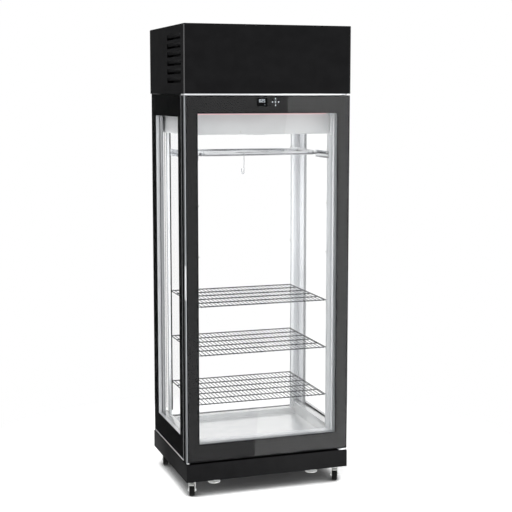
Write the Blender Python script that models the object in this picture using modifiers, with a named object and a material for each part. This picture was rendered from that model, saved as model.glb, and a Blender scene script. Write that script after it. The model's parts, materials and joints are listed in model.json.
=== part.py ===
"""Dry aging cabinet with a glass door, four glazed sides and a refrigeration housing on top.

Blender 4.5 script. Lengths are metres, +Z is up, the door faces -Y, and the origin is on the
floor under the middle of the cabinet.
"""

import math

import bmesh
import bpy
from mathutils import Euler

# Driving dimensions of the whole cabinet
CABINET_WIDTH = 0.750
CABINET_DEPTH = 0.590
CABINET_HEIGHT = 2.030
BASE_CLEARANCE = 0.070
BASE_HEIGHT = 0.078
HOUSING_HEIGHT = 0.290
SHEET = 0.002
EDGE_RADIUS = 0.004
GAP = 0.0003
OVERRUN = 0.003
WELD_DISTANCE = 0.00001

# Door
DOOR_LEFT_GAP = 0.0015
DOOR_RIGHT_GAP = 0.0035
DOOR_THICKNESS = 0.056
DOOR_BOTTOM_GAP = 0.009
DOOR_TOP_GAP = 0.007
DOOR_BORDER_SIDE = 0.057
DOOR_BORDER_TOP = 0.076
DOOR_BORDER_BOTTOM = 0.077
DOOR_PANE = 0.004
DOOR_MASK = 0.0015
SPACER_WIDTH = 0.012
SPACER_DEPTH = 0.0284
REAR_TRIM = 0.0015
GASKET_INSET = 0.019
GASKET_WIDTH = 0.018
GASKET_THICKNESS = 0.0059
EDGE_PROFILE_WIDTH = 0.0032
EDGE_PROFILE_DEPTH = 0.020
GRIP_LENGTH = 0.147
GRIP_CENTRE_HEIGHT = 0.943
GRIP_POCKET_WIDTH = 0.037
GRIP_POCKET_DEPTH = 0.018
GRIP_POCKET_FRONT = 0.0065

# Hinges of the door, at its right edge
HINGE_EDGE_INSET = 0.018
HINGE_FRONT_INSET = 0.023
HINGE_PLATE_LENGTH = 0.036
HINGE_PLATE_THICKNESS = 0.006
PIVOT_COLLAR_RADIUS = 0.007
PIVOT_RADIUS = 0.004
PIVOT_LENGTH = 0.020
PIVOT_CLEARANCE = 0.0005
HEADER_CLEARANCE = 0.0015

# Display and touch pad module in the door's top border
MODULE_WIDTH = 0.112
MODULE_HEIGHT = 0.040
MODULE_DEPTH = 0.014
MODULE_CENTRE_X = -0.005
MODULE_CENTRE_DROP = 0.029

# Glazing units of the body
PANE = 0.004
GLAZING_THICKNESS = 0.024
GLAZING_INSET = 0.002
SIDE_BORDER_FRONT = 0.060
SIDE_BORDER_REAR = 0.080
BORDER_TOP = 0.097
SIDE_BORDER_BOTTOM = 0.096
REAR_BORDER_SIDE = 0.0267
REAR_BORDER_BOTTOM = 0.061

# Floor stack and front frame
FLOOR_FLANGE = 0.0037
FLOOR_FLANGE_INSET = 0.0025
TRIM_HEIGHT = 0.0027
TRIM_INSET = 0.0015
TRIM_WIDTH = 0.033
FLOOR_HEIGHT = 0.192
REAR_RAIL_HEIGHT = 0.024
REAR_RAIL_WIDTH = 0.041
SIDE_RAIL_HEIGHT = 0.054
SIDE_RAIL_WIDTH = 0.0367
FRONT_LIP_HEIGHT = 0.010
FRONT_FRAME_DEPTH = 0.030
FRONT_FRAME_STILE = 0.0367
FRONT_FRAME_BOTTOM = 0.076
FRONT_FRAME_TOP = 0.080

# Rear corner posts
POST_LEG_X = 0.0261
POST_LEG_Y = 0.0757
POST_WALL = 0.002
POST_RIB = 0.0015
POST_GROOVE_SHARES = (0.28, 0.46, 0.62, 0.80)

# Shelf standards, shelves and their clips
STANDARD_DEPTH = 0.012
STANDARD_WIDTH = 0.020
STANDARD_WALL = 0.0015
STANDARD_FRONT_SETBACK = 0.0115
STANDARD_REAR_SETBACK = 0.0267
CLIP_REACH = 0.014
CLIP_WIDTH = 0.010
CLIP_THICKNESS = 0.003
SHELF_HEIGHTS = {"lower": 0.394, "middle": 0.611, "upper": 0.826}
SHELF_WIRE = 0.004
SHELF_SIDE_CLEARANCE = 0.0012
SHELF_OVERHANG = 0.001
SHELF_COLUMNS = 18
SHELF_BAYS = 3

# Hanging rail and hook
RAIL_RADIUS = 0.008
RAIL_DROP = 0.085
RAIL_SIDE_CLEARANCE = 0.0147
RAIL_FRONT_SETBACK = 0.056
RAIL_REAR_SETBACK = 0.097
RAIL_CORNER = 0.060
RAIL_CORNER_STEPS = 6
RAIL_BRACKET_HEIGHT = 0.032
RAIL_BRACKET_TOP = 0.010
RAIL_BRACKET_WALL = 0.003
RAIL_BRACKET_LAP = 0.025
HOOK_X = -0.0745
HOOK_WIRE = 0.0025
HOOK_SHANK = 0.070
HOOK_CROOK = 0.018
HOOK_TIP_TURN = 200.0
HOOK_WRAP_TURN = 210.0
HOOK_ARC_STEPS = 12

# Refrigeration parts
CEILING_THICKNESS = 0.030
COVER_HEIGHT = 0.1747
COVER_SIDE_GAP = 0.0137
COVER_REAR_SETBACK = 0.009
COVER_INLET_RADIUS = 0.080
COVER_OUTLET_END = 0.095
COVER_OUTLET_HEIGHT = 0.080
EVAPORATOR_LEFT_ROOM = 0.185
EVAPORATOR_RIGHT_ROOM = 0.035
EVAPORATOR_REAR_ROOM = 0.1097
EVAPORATOR_DEPTH = 0.100
EVAPORATOR_HEIGHT = 0.110
EVAPORATOR_FAN_SETBACK = 0.1322
EVAPORATOR_FAN_RADIUS = 0.070
EVAPORATOR_FAN_RISE = 0.050
CONDENSER_FRONT_INSET = 0.045
CONDENSER_LENGTH = 0.230
CONDENSER_THICKNESS = 0.045
CONDENSER_HEIGHT = 0.215
CONDENSER_WALL_GAP = 0.028
CONDENSER_FAN_RADIUS = 0.088
FAN_HUB_RADIUS = 0.024
FAN_HUB_LENGTH = 0.024
FAN_BLADE_CHORD = 0.036
FAN_BLADE_THICKNESS = 0.002
FAN_BLADE_PITCH = 32.0
FAN_BLADES = 5
FAN_TO_COIL = 0.010
MOTOR_RADIUS = 0.020
MOTOR_LENGTH = 0.026
SPINDLE_RADIUS = 0.004
SPINDLE_CLEARANCE = 0.0005
MOTOR_ARM = 0.012
COMPRESSOR_SIDE_INSET = 0.160
COMPRESSOR_REAR_INSET = 0.185
COMPRESSOR_RADIUS = 0.068
COMPRESSOR_HEIGHT = 0.185
COMPRESSOR_DOME = 0.030
COMPRESSOR_PLATE = 0.150
COMPRESSOR_PLATE_THICKNESS = 0.004
COMPRESSOR_FOOT = 0.012
CONTROL_SIDE_INSET = 0.135
CONTROL_FRONT_INSET = 0.025
CONTROL_SIZE = (0.180, 0.110, 0.070)
INLET_SIDE_INSET = 0.135
INLET_RISE = 0.075
INLET_WIDTH = 0.048
INLET_TALL = 0.028
INLET_DEPTH = 0.024

# Louvres of the housing's left side and slots of its back
LOUVRE_COUNT = 6
LOUVRE_PITCH = 0.0364
LOUVRE_FRONT = 0.048
LOUVRE_LENGTH = 0.226
LOUVRE_OPENING = 0.010
LOUVRE_TOP_DROP = 0.052
LOUVRE_BLADE = 0.018
LOUVRE_BLADE_THICKNESS = 0.0015
LOUVRE_BLADE_TILT = 32.0
SLOT_COUNT = 9
SLOT_PITCH = 0.020
SLOT_HEIGHT = 0.008
SLOT_TOP_DROP = 0.050
SLOT_LEFT_INSET = 0.145
SLOT_RIGHT_INSET = 0.305

# Casters
WHEEL_RADIUS = 0.025
WHEEL_WIDTH = 0.022
WHEEL_STEPS = 20
HUB_RADIUS = 0.012
HUB_RECESS = 0.003
TREAD_CHAMFER = 0.003
AXLE_RADIUS = 0.0035
AXLE_CLEARANCE = 0.0005
AXLE_NUT_RADIUS = 0.006
AXLE_NUT = 0.004
CASTER_SIDE_INSET = 0.040
CASTER_FRONT_INSET = 0.056
CASTER_REAR_INSET = 0.072
CASTER_PLATE = 0.050
CASTER_PLATE_THICKNESS = 0.003
CASTER_TRAIL = 0.018
CASTER_REST_TURN = -18.8
SWIVEL_RADIUS = 0.020
SWIVEL_HEIGHT = 0.006
KINGPIN_RADIUS = 0.005
KINGPIN_LENGTH = 0.015
KINGPIN_CLEARANCE = 0.0005
FORK_WALL = 0.0025
FORK_WHEEL_GAP = 0.001
FORK_TOP_FRONT = 0.030
FORK_TOP_REAR = 0.014
FORK_END_RADIUS = 0.009
FORK_END_STEPS = 6
PEDAL_PIVOT_FORWARD = 0.024
PEDAL_PIVOT_DROP = 0.0058
PEDAL_PIN_RADIUS = 0.0015
PEDAL_PIN_CLEARANCE = 0.0004
PEDAL_LENGTH = 0.030
PEDAL_THICKNESS = 0.0025
PEDAL_SIDE_GAP = 0.002

# Levelling feet
FOOT_SIDE_INSET = 0.145
FOOT_SETBACK = 0.075
FOOT_RADIUS = 0.0275
FOOT_DISC = 0.006
FOOT_BOTTOM = 0.038
FOOT_STEM_RADIUS = 0.005
FOOT_STEM_LENGTH = 0.072
FOOT_RISE = 0.010
FOOT_STEM_CLEARANCE = 0.0005

# Places that follow from the sizes above
HALF_WIDTH = CABINET_WIDTH / 2
FRONT_Y = -CABINET_DEPTH / 2
REAR_Y = CABINET_DEPTH / 2
BASE_TOP = BASE_CLEARANCE + BASE_HEIGHT
HOUSING_BOTTOM = CABINET_HEIGHT - HOUSING_HEIGHT
CEILING_TOP = HOUSING_BOTTOM + CEILING_THICKNESS

DOOR_LEFT = DOOR_LEFT_GAP - HALF_WIDTH
DOOR_RIGHT = HALF_WIDTH - DOOR_RIGHT_GAP
DOOR_BOTTOM = BASE_TOP + DOOR_BOTTOM_GAP
DOOR_TOP = HOUSING_BOTTOM - DOOR_TOP_GAP
DOOR_BACK = FRONT_Y + DOOR_THICKNESS
PANE_BACK = FRONT_Y + DOOR_PANE
FRAME_FRONT = PANE_BACK + GAP
MASK_BACK = FRAME_FRONT + DOOR_MASK
FRAME_BACK = DOOR_BACK - REAR_TRIM - GAP
SPACER_FRONT = MASK_BACK + GAP
SPACER_BACK = SPACER_FRONT + SPACER_DEPTH
INNER_PANE_FRONT = SPACER_BACK + GAP
INNER_PANE_BACK = INNER_PANE_FRONT + DOOR_PANE
BODY_FRONT = DOOR_BACK + GASKET_THICKNESS + 2 * GAP
HINGE_X = DOOR_RIGHT - HINGE_EDGE_INSET
HINGE_Y = FRONT_Y + HINGE_FRONT_INSET
HINGE_PLATE_LEFT = DOOR_RIGHT - HINGE_PLATE_LENGTH

DECK_BOTTOM = BASE_TOP + GAP
DECK_TOP = DECK_BOTTOM + FLOOR_FLANGE
SEAM_BOTTOM = DECK_TOP + GAP
SEAM_TOP = SEAM_BOTTOM + TRIM_HEIGHT
GLAZING_BOTTOM = SEAM_TOP + GAP
GLAZING_TOP = HOUSING_BOTTOM - GAP
GLAZING_OUTER_X = HALF_WIDTH - GLAZING_INSET
GLAZING_INNER_X = GLAZING_OUTER_X - GLAZING_THICKNESS
GLAZING_OUTER_Y = REAR_Y - GLAZING_INSET
GLAZING_INNER_Y = GLAZING_OUTER_Y - GLAZING_THICKNESS
CHAMBER_X = GLAZING_INNER_X - GAP
CHAMBER_REAR = GLAZING_INNER_Y - GAP
FRAME_RING_BACK = BODY_FRONT + FRONT_FRAME_DEPTH
CHAMBER_FRONT = FRAME_RING_BACK + GAP
FRAME_OPENING_X = CHAMBER_X - FRONT_FRAME_STILE
STANDARD_FRONT_Y = BODY_FRONT + STANDARD_FRONT_SETBACK
STANDARD_REAR_Y = CHAMBER_REAR - STANDARD_REAR_SETBACK
STANDARD_OUTER_X = FRAME_OPENING_X - GAP
STANDARD_INNER_X = STANDARD_OUTER_X - STANDARD_DEPTH
REAR_RAIL_TOP = FLOOR_HEIGHT + REAR_RAIL_HEIGHT
SIDE_RAIL_TOP = FLOOR_HEIGHT + SIDE_RAIL_HEIGHT
FRAME_RING_SILL = GLAZING_BOTTOM + FRONT_FRAME_BOTTOM
COVER_BOTTOM = GLAZING_TOP - COVER_HEIGHT
COVER_HALF_WIDTH = CHAMBER_X - COVER_SIDE_GAP
STANDARD_TOP = COVER_BOTTOM - GAP
COVER_REAR_Y = CHAMBER_REAR - COVER_REAR_SETBACK
EVAPORATOR_FAN_Y = CHAMBER_FRONT + EVAPORATOR_FAN_SETBACK
RAIL_HEIGHT = COVER_BOTTOM - RAIL_DROP
RAIL_HALF_WIDTH = STANDARD_INNER_X - RAIL_SIDE_CLEARANCE
RAIL_FRONT_Y = STANDARD_FRONT_Y + RAIL_FRONT_SETBACK
RAIL_REAR_Y = STANDARD_REAR_Y - RAIL_REAR_SETBACK

CASTER_X = HALF_WIDTH - CASTER_SIDE_INSET
CASTER_FRONT_Y = FRONT_Y + CASTER_FRONT_INSET
CASTER_REAR_Y = REAR_Y - CASTER_REAR_INSET
CASTER_PLATE_BOTTOM = BASE_CLEARANCE - CASTER_PLATE_THICKNESS
SWIVEL_TOP = CASTER_PLATE_BOTTOM - GAP
SWIVEL_BOTTOM = SWIVEL_TOP - SWIVEL_HEIGHT
FORK_INNER = WHEEL_WIDTH / 2 + FORK_WHEEL_GAP
FORK_OUTER = FORK_INNER + FORK_WALL
PEDAL_PIVOT = (0, -PEDAL_PIVOT_FORWARD, SWIVEL_BOTTOM - PEDAL_PIVOT_DROP)
FOOT_X = HALF_WIDTH - FOOT_SIDE_INSET
FOOT_Y = FRONT_Y + FOOT_SETBACK

# Turns that lay a flat outline square to an axis
PLANE_TURNS = {
    "X": (math.pi / 2, 0, math.pi / 2),
    "Y": (math.pi / 2, 0, 0),
    "Z": (0, 0, 0),
}
# Turns that lay a cylinder's own Z along an axis
AXIS_TURNS = {
    "X": (0, math.pi / 2, 0),
    "Y": (math.pi / 2, 0, 0),
    "Z": (0, 0, 0),
}


def clear_scene():
    """Remove what the scene holds."""
    for stale in list(bpy.data.objects):
        bpy.data.objects.remove(stale, do_unlink=True)


def new_collection(name):
    collection = bpy.data.collections.new(name)
    bpy.context.scene.collection.children.link(collection)
    return collection


def linear(channel):
    """One sRGB channel from 0 to 1 as linear light."""
    if channel <= 0.04045:
        return channel / 12.92
    return ((channel + 0.055) / 1.055) ** 2.4


def new_material(name, colour, roughness, metallic=0.0, alpha=1.0):
    """A Principled material; the colour is an sRGB hex value."""
    material = bpy.data.materials.new(name)
    material.use_nodes = True
    shader = material.node_tree.nodes["Principled BSDF"]
    channels = [linear((colour >> shift & 255) / 255) for shift in (16, 8, 0)]
    shader.inputs["Base Color"].default_value = (*channels, 1.0)
    shader.inputs["Roughness"].default_value = roughness
    shader.inputs["Metallic"].default_value = metallic
    shader.inputs["Alpha"].default_value = alpha
    material.diffuse_color = (*channels, alpha)
    return material


clear_scene()
PARTS = new_collection("dry_aging_cabinet")
CUTTERS = new_collection("cutters")

BLACK_STEEL = new_material("black_powder_coat", 0x1C1C1D, 0.45)
CLEAR_GLASS = new_material("clear_glass", 0xE8F0EE, 0.05, alpha=0.25)
BLACK_ENAMEL = new_material("black_enamel_border", 0x151516, 0.2)
DOOR_BLACK = new_material("black_door_profile", 0x2A2A2B, 0.3)
GREY_ALUMINIUM = new_material("grey_anodised_aluminium", 0x8A8D90, 0.35, metallic=1.0)
BRIGHT_ALUMINIUM = new_material("bright_aluminium", 0xD8DADB, 0.2, metallic=1.0)
STAINLESS = new_material("stainless_steel", 0xC9CBCC, 0.25, metallic=1.0)
CHROME = new_material("chromed_wire", 0xD5D7D9, 0.12, metallic=1.0)
ZINC = new_material("zinc_plated_steel", 0xC4C6C6, 0.3, metallic=1.0)
BLACK_RUBBER = new_material("black_rubber", 0x141414, 0.7)
SOFT_GASKET = new_material("grey_gasket", 0x4A4C4E, 0.7)
WHITE_PANEL = new_material("white_insulated_panel", 0xC8C8C8, 0.5)
GREY_STEEL = new_material("grey_painted_steel", 0xB9BABB, 0.4)
BLACK_PLASTIC = new_material("black_plastic", 0x111112, 0.4)
FIN_ALUMINIUM = new_material("finned_aluminium", 0xAEB1B3, 0.45, metallic=1.0)


def place(name, data, material, location=(0, 0, 0), rotation=(0, 0, 0)):
    """An object of the cabinet with its material."""
    piece = bpy.data.objects.new(name, data)
    PARTS.objects.link(piece)
    piece.location = location
    piece.rotation_euler = rotation
    if material is not None:
        data.materials.append(material)
    return piece


def axis_empty(name, location, turn=0):
    """An empty on the joint axis of the pieces that it will carry."""
    empty = bpy.data.objects.new(name, None)
    PARTS.objects.link(empty)
    empty.location = location
    empty.rotation_euler = (0, 0, turn)
    return empty


def as_cutter(piece):
    """Move an object to the cutters, which are not part of the cabinet."""
    PARTS.objects.unlink(piece)
    CUTTERS.objects.link(piece)
    piece.hide_render = True
    piece.display_type = "WIRE"
    return piece


def mesh_of(bm, name):
    mesh = bpy.data.meshes.new(name)
    bm.to_mesh(mesh)
    bm.free()
    return mesh


def boxes(name, corner_pairs, material=None):
    """One object of blocks, each between its low and its high corner."""
    bm = bmesh.new()
    for low, high in corner_pairs:
        made = bmesh.ops.create_cube(bm, size=1.0)["verts"]
        size = [b - a for a, b in zip(low, high)]
        centre = [(a + b) / 2 for a, b in zip(low, high)]
        bmesh.ops.scale(bm, vec=size, verts=made)
        bmesh.ops.translate(bm, vec=centre, verts=made)
    return place(name, mesh_of(bm, name), material)


def bevel(piece, width, segments=2):
    """Round a piece's sharp edges."""
    rounding = piece.modifiers.new("rounded_edges", "BEVEL")
    rounding.width = width
    rounding.segments = segments
    rounding.limit_method = "ANGLE"
    return piece


def box(name, low, high, material, rounding=0):
    """A block between two corners."""
    piece = boxes(name, [(low, high)], material)
    if rounding:
        bevel(piece, rounding)
    return piece


def cylinders(name, places, radius, length, axis, material=None, segments=16):
    """One object of equal cylinders, centred on the places, along one axis."""
    bm = bmesh.new()
    turn = Euler(AXIS_TURNS[axis]).to_matrix()
    for centre in places:
        made = bmesh.ops.create_cone(
            bm, cap_ends=True, segments=segments, radius1=radius, radius2=radius, depth=length
        )["verts"]
        bmesh.ops.rotate(bm, matrix=turn, verts=made)
        bmesh.ops.translate(bm, vec=centre, verts=made)
    return place(name, mesh_of(bm, name), material)


def rectangle(low, high):
    """The corners of a rectangle in a plane."""
    return [(low[0], low[1]), (high[0], low[1]), (high[0], high[1]), (low[0], high[1])]


def sheet(name, outlines, normal, low, high, material):
    """A flat piece square to an axis, from low to high along it; inner outlines are holes."""
    curve = bpy.data.curves.new(name, "CURVE")
    curve.dimensions = "2D"
    curve.fill_mode = "BOTH"
    curve.extrude = (high - low) / 2
    for outline in outlines:
        spline = curve.splines.new("POLY")
        spline.points.add(len(outline) - 1)
        for point, (across, up) in zip(spline.points, outline):
            point.co = (across, up, 0, 1)
        spline.use_cyclic_u = True
    centre = [0, 0, 0]
    centre["XYZ".index(normal)] = (low + high) / 2
    return place(name, curve, material, centre, PLANE_TURNS[normal])


def solid_from_curve(curve_object):
    """A mesh object in a curve object's place, with the curve's caps welded to its walls."""
    name = curve_object.name
    bpy.context.view_layer.update()
    evaluated = curve_object.evaluated_get(bpy.context.evaluated_depsgraph_get())
    mesh = bpy.data.meshes.new_from_object(evaluated)
    bm = bmesh.new()
    bm.from_mesh(mesh)
    bmesh.ops.remove_doubles(bm, verts=bm.verts, dist=WELD_DISTANCE)
    bm.to_mesh(mesh)
    bm.free()
    solid = bpy.data.objects.new(name, mesh)
    PARTS.objects.link(solid)
    solid.matrix_world = curve_object.matrix_world
    bpy.data.objects.remove(curve_object, do_unlink=True)
    solid.name = name
    return solid


def combine(piece, tool, operation):
    """Join a tool to a piece or cut it from the piece."""
    as_cutter(tool)
    change = piece.modifiers.new(tool.name, "BOOLEAN")
    change.operation = operation
    change.object = tool
    return piece


def join(piece, *tools):
    for tool in tools:
        combine(piece, tool, "UNION")
    return piece


def cut(piece, *tools):
    for tool in tools:
        combine(piece, tool, "DIFFERENCE")
    return piece


def turned(name, profile, material, location=(0, 0, 0), steps=16, first_angle=0, closed=False):
    """A turned piece; the profile is (radius, height) points down its outer side."""
    bm = bmesh.new()
    side_x = math.cos(first_angle)
    side_y = math.sin(first_angle)
    points = [bm.verts.new((radius * side_x, radius * side_y, height)) for radius, height in profile]
    for first, second in zip(points, points[1:]):
        bm.edges.new((first, second))
    if closed:
        bm.edges.new((points[-1], points[0]))
    piece = place(name, mesh_of(bm, name), material, location)
    screw = piece.modifiers.new("turned", "SCREW")
    screw.steps = steps
    screw.render_steps = steps
    screw.use_merge_vertices = True
    screw.merge_threshold = WELD_DISTANCE
    return piece


def tube(name, points, radius, material, closed=False, resolution=2):
    """A round bar along a line of points."""
    curve = bpy.data.curves.new(name, "CURVE")
    curve.dimensions = "3D"
    curve.bevel_depth = radius
    curve.bevel_resolution = resolution
    curve.use_fill_caps = True
    spline = curve.splines.new("POLY")
    spline.points.add(len(points) - 1)
    for point, place_on_line in zip(spline.points, points):
        point.co = (*place_on_line, 1)
    spline.use_cyclic_u = closed
    return place(name, curve, material)


def shell(name, low, high, open_sides, material):
    """A folded sheet box between two corners, without the sides whose normals are named."""
    bm = bmesh.new()
    made = bmesh.ops.create_cube(bm, size=1.0)["verts"]
    bmesh.ops.scale(bm, vec=[b - a for a, b in zip(low, high)], verts=made)
    bmesh.ops.translate(bm, vec=[(a + b) / 2 for a, b in zip(low, high)], verts=made)
    bm.faces.ensure_lookup_table()
    bm.normal_update()
    gone = [face for face in bm.faces if tuple(round(part) for part in face.normal) in open_sides]
    bmesh.ops.delete(bm, geom=gone, context="FACES_ONLY")
    piece = place(name, mesh_of(bm, name), material)
    bevel(piece, EDGE_RADIUS)
    wall = piece.modifiers.new("sheet", "SOLIDIFY")
    wall.thickness = SHEET
    wall.offset = -1
    wall.use_even_offset = True
    return piece


def smooth(piece):
    """Shade a round piece smooth, with its sharp edges kept."""
    piece.data.shade_smooth()
    piece.data.set_sharp_from_angle(angle=math.radians(40))
    return piece


def arc(centre, radius, start, turn, steps):
    """Points of an arc in a plane, angles in degrees."""
    points = []
    for step in range(steps + 1):
        angle = math.radians(start + turn * step / steps)
        points.append((centre[0] + radius * math.cos(angle), centre[1] + radius * math.sin(angle)))
    return points


def build_base():
    """The folded plinth pan and the rigid chassis core inside it."""
    shell(
        "base_plinth",
        (-HALF_WIDTH, FRONT_Y, BASE_CLEARANCE),
        (HALF_WIDTH, REAR_Y, BASE_TOP),
        [(0, 0, -1)],
        BLACK_STEEL,
    )
    inset = SHEET + GAP
    core_bottom = BASE_CLEARANCE + GAP
    core = box(
        "base_core",
        (-HALF_WIDTH + inset, FRONT_Y + inset, core_bottom),
        (HALF_WIDTH - inset, REAR_Y - inset, BASE_TOP - inset),
        GREY_STEEL,
        rounding=EDGE_RADIUS,
    )
    half_plate = CASTER_PLATE / 2
    plates = []
    for x, y in caster_places().values():
        low = (x - half_plate, y - half_plate, CASTER_PLATE_BOTTOM)
        high = (x + half_plate, y + half_plate, core_bottom + OVERRUN)
        plates.append((low, high))
    join(core, boxes("caster_plates", plates))
    pin_bore = KINGPIN_LENGTH + OVERRUN
    pin_places = [
        (x, y, CASTER_PLATE_BOTTOM - OVERRUN + (pin_bore + OVERRUN) / 2)
        for x, y in caster_places().values()
    ]
    cut(core, cylinders(
        "kingpin_bores", pin_places, KINGPIN_RADIUS + KINGPIN_CLEARANCE, pin_bore + OVERRUN, "Z",
    ))
    stem_top = FOOT_BOTTOM + FOOT_DISC + FOOT_STEM_LENGTH + FOOT_RISE + OVERRUN
    stem_bottom = BASE_CLEARANCE - OVERRUN
    stem_places = [(x, FOOT_Y, (stem_top + stem_bottom) / 2) for x in (-FOOT_X, FOOT_X)]
    cut(core, cylinders(
        "foot_bores", stem_places, FOOT_STEM_RADIUS + FOOT_STEM_CLEARANCE,
        stem_top - stem_bottom, "Z",
    ))


def caster_places():
    """Each caster's swivel axis in the floor plane."""
    return {
        "front_left": (-CASTER_X, CASTER_FRONT_Y),
        "front_right": (CASTER_X, CASTER_FRONT_Y),
        "rear_left": (-CASTER_X, CASTER_REAR_Y),
        "rear_right": (CASTER_X, CASTER_REAR_Y),
    }


def fork_leg(name, low, high):
    """One fork cheek, from under the swivel head to round the axle bolt."""
    top = SWIVEL_BOTTOM + OVERRUN / 2
    outline = [(-FORK_TOP_FRONT, top)]
    outline += arc((-CASTER_TRAIL, WHEEL_RADIUS), FORK_END_RADIUS, 180, 180, FORK_END_STEPS)
    outline.append((FORK_TOP_REAR, top))
    return solid_from_curve(sheet(name, [outline], "X", low, high, None))


def build_caster_fork(label, swivel, has_pedal):
    """Swivel head with its kingpin, two cheeks and the axle bolt with its nuts."""
    name = "caster_fork_" + label
    head_centre = (0, 0, (SWIVEL_TOP + SWIVEL_BOTTOM) / 2)
    fork = cylinders(name, [head_centre], SWIVEL_RADIUS, SWIVEL_HEIGHT, "Z", ZINC, segments=20)
    pin_length = SWIVEL_HEIGHT + KINGPIN_LENGTH
    pin_centre = (0, 0, SWIVEL_BOTTOM + pin_length / 2)
    kingpin = cylinders(
        name + "_kingpin", [pin_centre], KINGPIN_RADIUS, pin_length, "Z", segments=12,
    )
    bridge = boxes(name + "_bridge", [(
        (GAP - FORK_OUTER, -FORK_TOP_FRONT - GAP, SWIVEL_BOTTOM),
        (FORK_OUTER - GAP, FORK_TOP_REAR + GAP, SWIVEL_BOTTOM + FORK_WALL),
    )])
    left_cheek = fork_leg(name + "_left_cheek", -FORK_OUTER, -FORK_INNER)
    right_cheek = fork_leg(name + "_right_cheek", FORK_INNER, FORK_OUTER)
    axle_centre = (0, -CASTER_TRAIL, WHEEL_RADIUS)
    axle_length = 2 * FORK_OUTER + AXLE_NUT
    axle = cylinders(name + "_axle", [axle_centre], AXLE_RADIUS, axle_length, "X", segments=12)
    nut_x = FORK_OUTER + AXLE_NUT / 2 - GAP
    nuts = cylinders(
        name + "_nuts",
        [(side * nut_x, -CASTER_TRAIL, WHEEL_RADIUS) for side in (-1, 1)],
        AXLE_NUT_RADIUS, AXLE_NUT, "X", segments=6,
    )
    tools = [kingpin, bridge, left_cheek, right_cheek, axle, nuts]
    join(fork, *tools)
    if has_pedal:
        bore = cylinders(
            name + "_pedal_bore", [PEDAL_PIVOT], PEDAL_PIN_RADIUS + PEDAL_PIN_CLEARANCE,
            2 * FORK_OUTER + OVERRUN, "X", segments=10,
        )
        cut(fork, bore)
        tools.append(bore)
    for piece in [fork, *tools]:
        piece.parent = swivel
    return smooth(fork)


def build_wheel(label, swivel):
    """Wheel with a chamfered tread, recessed faces and the axle bore; it stands on a flat."""
    half_step = math.pi / WHEEL_STEPS
    tread = WHEEL_RADIUS / math.cos(half_step)
    half = WHEEL_WIDTH / 2
    bore = AXLE_RADIUS + AXLE_CLEARANCE
    rim = tread - 2 * TREAD_CHAMFER
    profile = [
        (bore, half),
        (HUB_RADIUS, half),
        (HUB_RADIUS, half - HUB_RECESS),
        (rim, half - HUB_RECESS),
        (tread - TREAD_CHAMFER, half),
        (tread, half - TREAD_CHAMFER),
        (tread, TREAD_CHAMFER - half),
        (tread - TREAD_CHAMFER, -half),
        (rim, HUB_RECESS - half),
        (HUB_RADIUS, HUB_RECESS - half),
        (HUB_RADIUS, -half),
        (bore, -half),
    ]
    wheel = turned(
        "caster_wheel_" + label, profile, BLACK_RUBBER, (0, -CASTER_TRAIL, WHEEL_RADIUS),
        steps=WHEEL_STEPS, first_angle=half_step, closed=True,
    )
    wheel.rotation_euler = AXIS_TURNS["X"]
    wheel.parent = swivel
    return wheel


def build_brake_pedal(label, swivel):
    """Lock lever between the fork cheeks, with its cross pin."""
    half = FORK_INNER - PEDAL_SIDE_GAP
    pedal = boxes("brake_pedal_" + label, [(
        (-half, -PEDAL_LENGTH, -PEDAL_THICKNESS / 2),
        (half, PEDAL_THICKNESS, PEDAL_THICKNESS / 2),
    )], ZINC)
    pin = cylinders(
        "brake_pin_" + label, [(0, 0, 0)], PEDAL_PIN_RADIUS, 2 * FORK_OUTER, "X", segments=10,
    )
    join(pedal, pin)
    for piece in (pedal, pin):
        piece.location = PEDAL_PIVOT
        piece.parent = swivel
    return pedal


def build_casters():
    """Four swivel casters, the front two with lock levers, all turned one way at rest."""
    turn = math.radians(CASTER_REST_TURN)
    for label, (x, y) in caster_places().items():
        swivel = axis_empty("swivel_axis_" + label, (x, y, 0), turn)
        in_front = label.startswith("front")
        build_caster_fork(label, swivel, in_front)
        build_wheel(label, swivel)
        if in_front:
            build_brake_pedal(label.removeprefix("front_"), swivel)


def build_feet():
    """Two screw-down feet near the front edge, each a disc on a stem."""
    rim = FOOT_DISC / 3
    for label, x in (("left", -FOOT_X), ("right", FOOT_X)):
        profile = [
            (0, FOOT_BOTTOM + FOOT_DISC + FOOT_STEM_LENGTH),
            (FOOT_STEM_RADIUS, FOOT_BOTTOM + FOOT_DISC + FOOT_STEM_LENGTH),
            (FOOT_STEM_RADIUS, FOOT_BOTTOM + FOOT_DISC),
            (FOOT_RADIUS - rim, FOOT_BOTTOM + FOOT_DISC),
            (FOOT_RADIUS, FOOT_BOTTOM + FOOT_DISC - rim),
            (FOOT_RADIUS, FOOT_BOTTOM + rim),
            (FOOT_RADIUS - rim, FOOT_BOTTOM),
            (0, FOOT_BOTTOM),
        ]
        turned("levelling_foot_" + label, profile, ZINC, (x, FOOT_Y, 0), steps=20)


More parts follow.
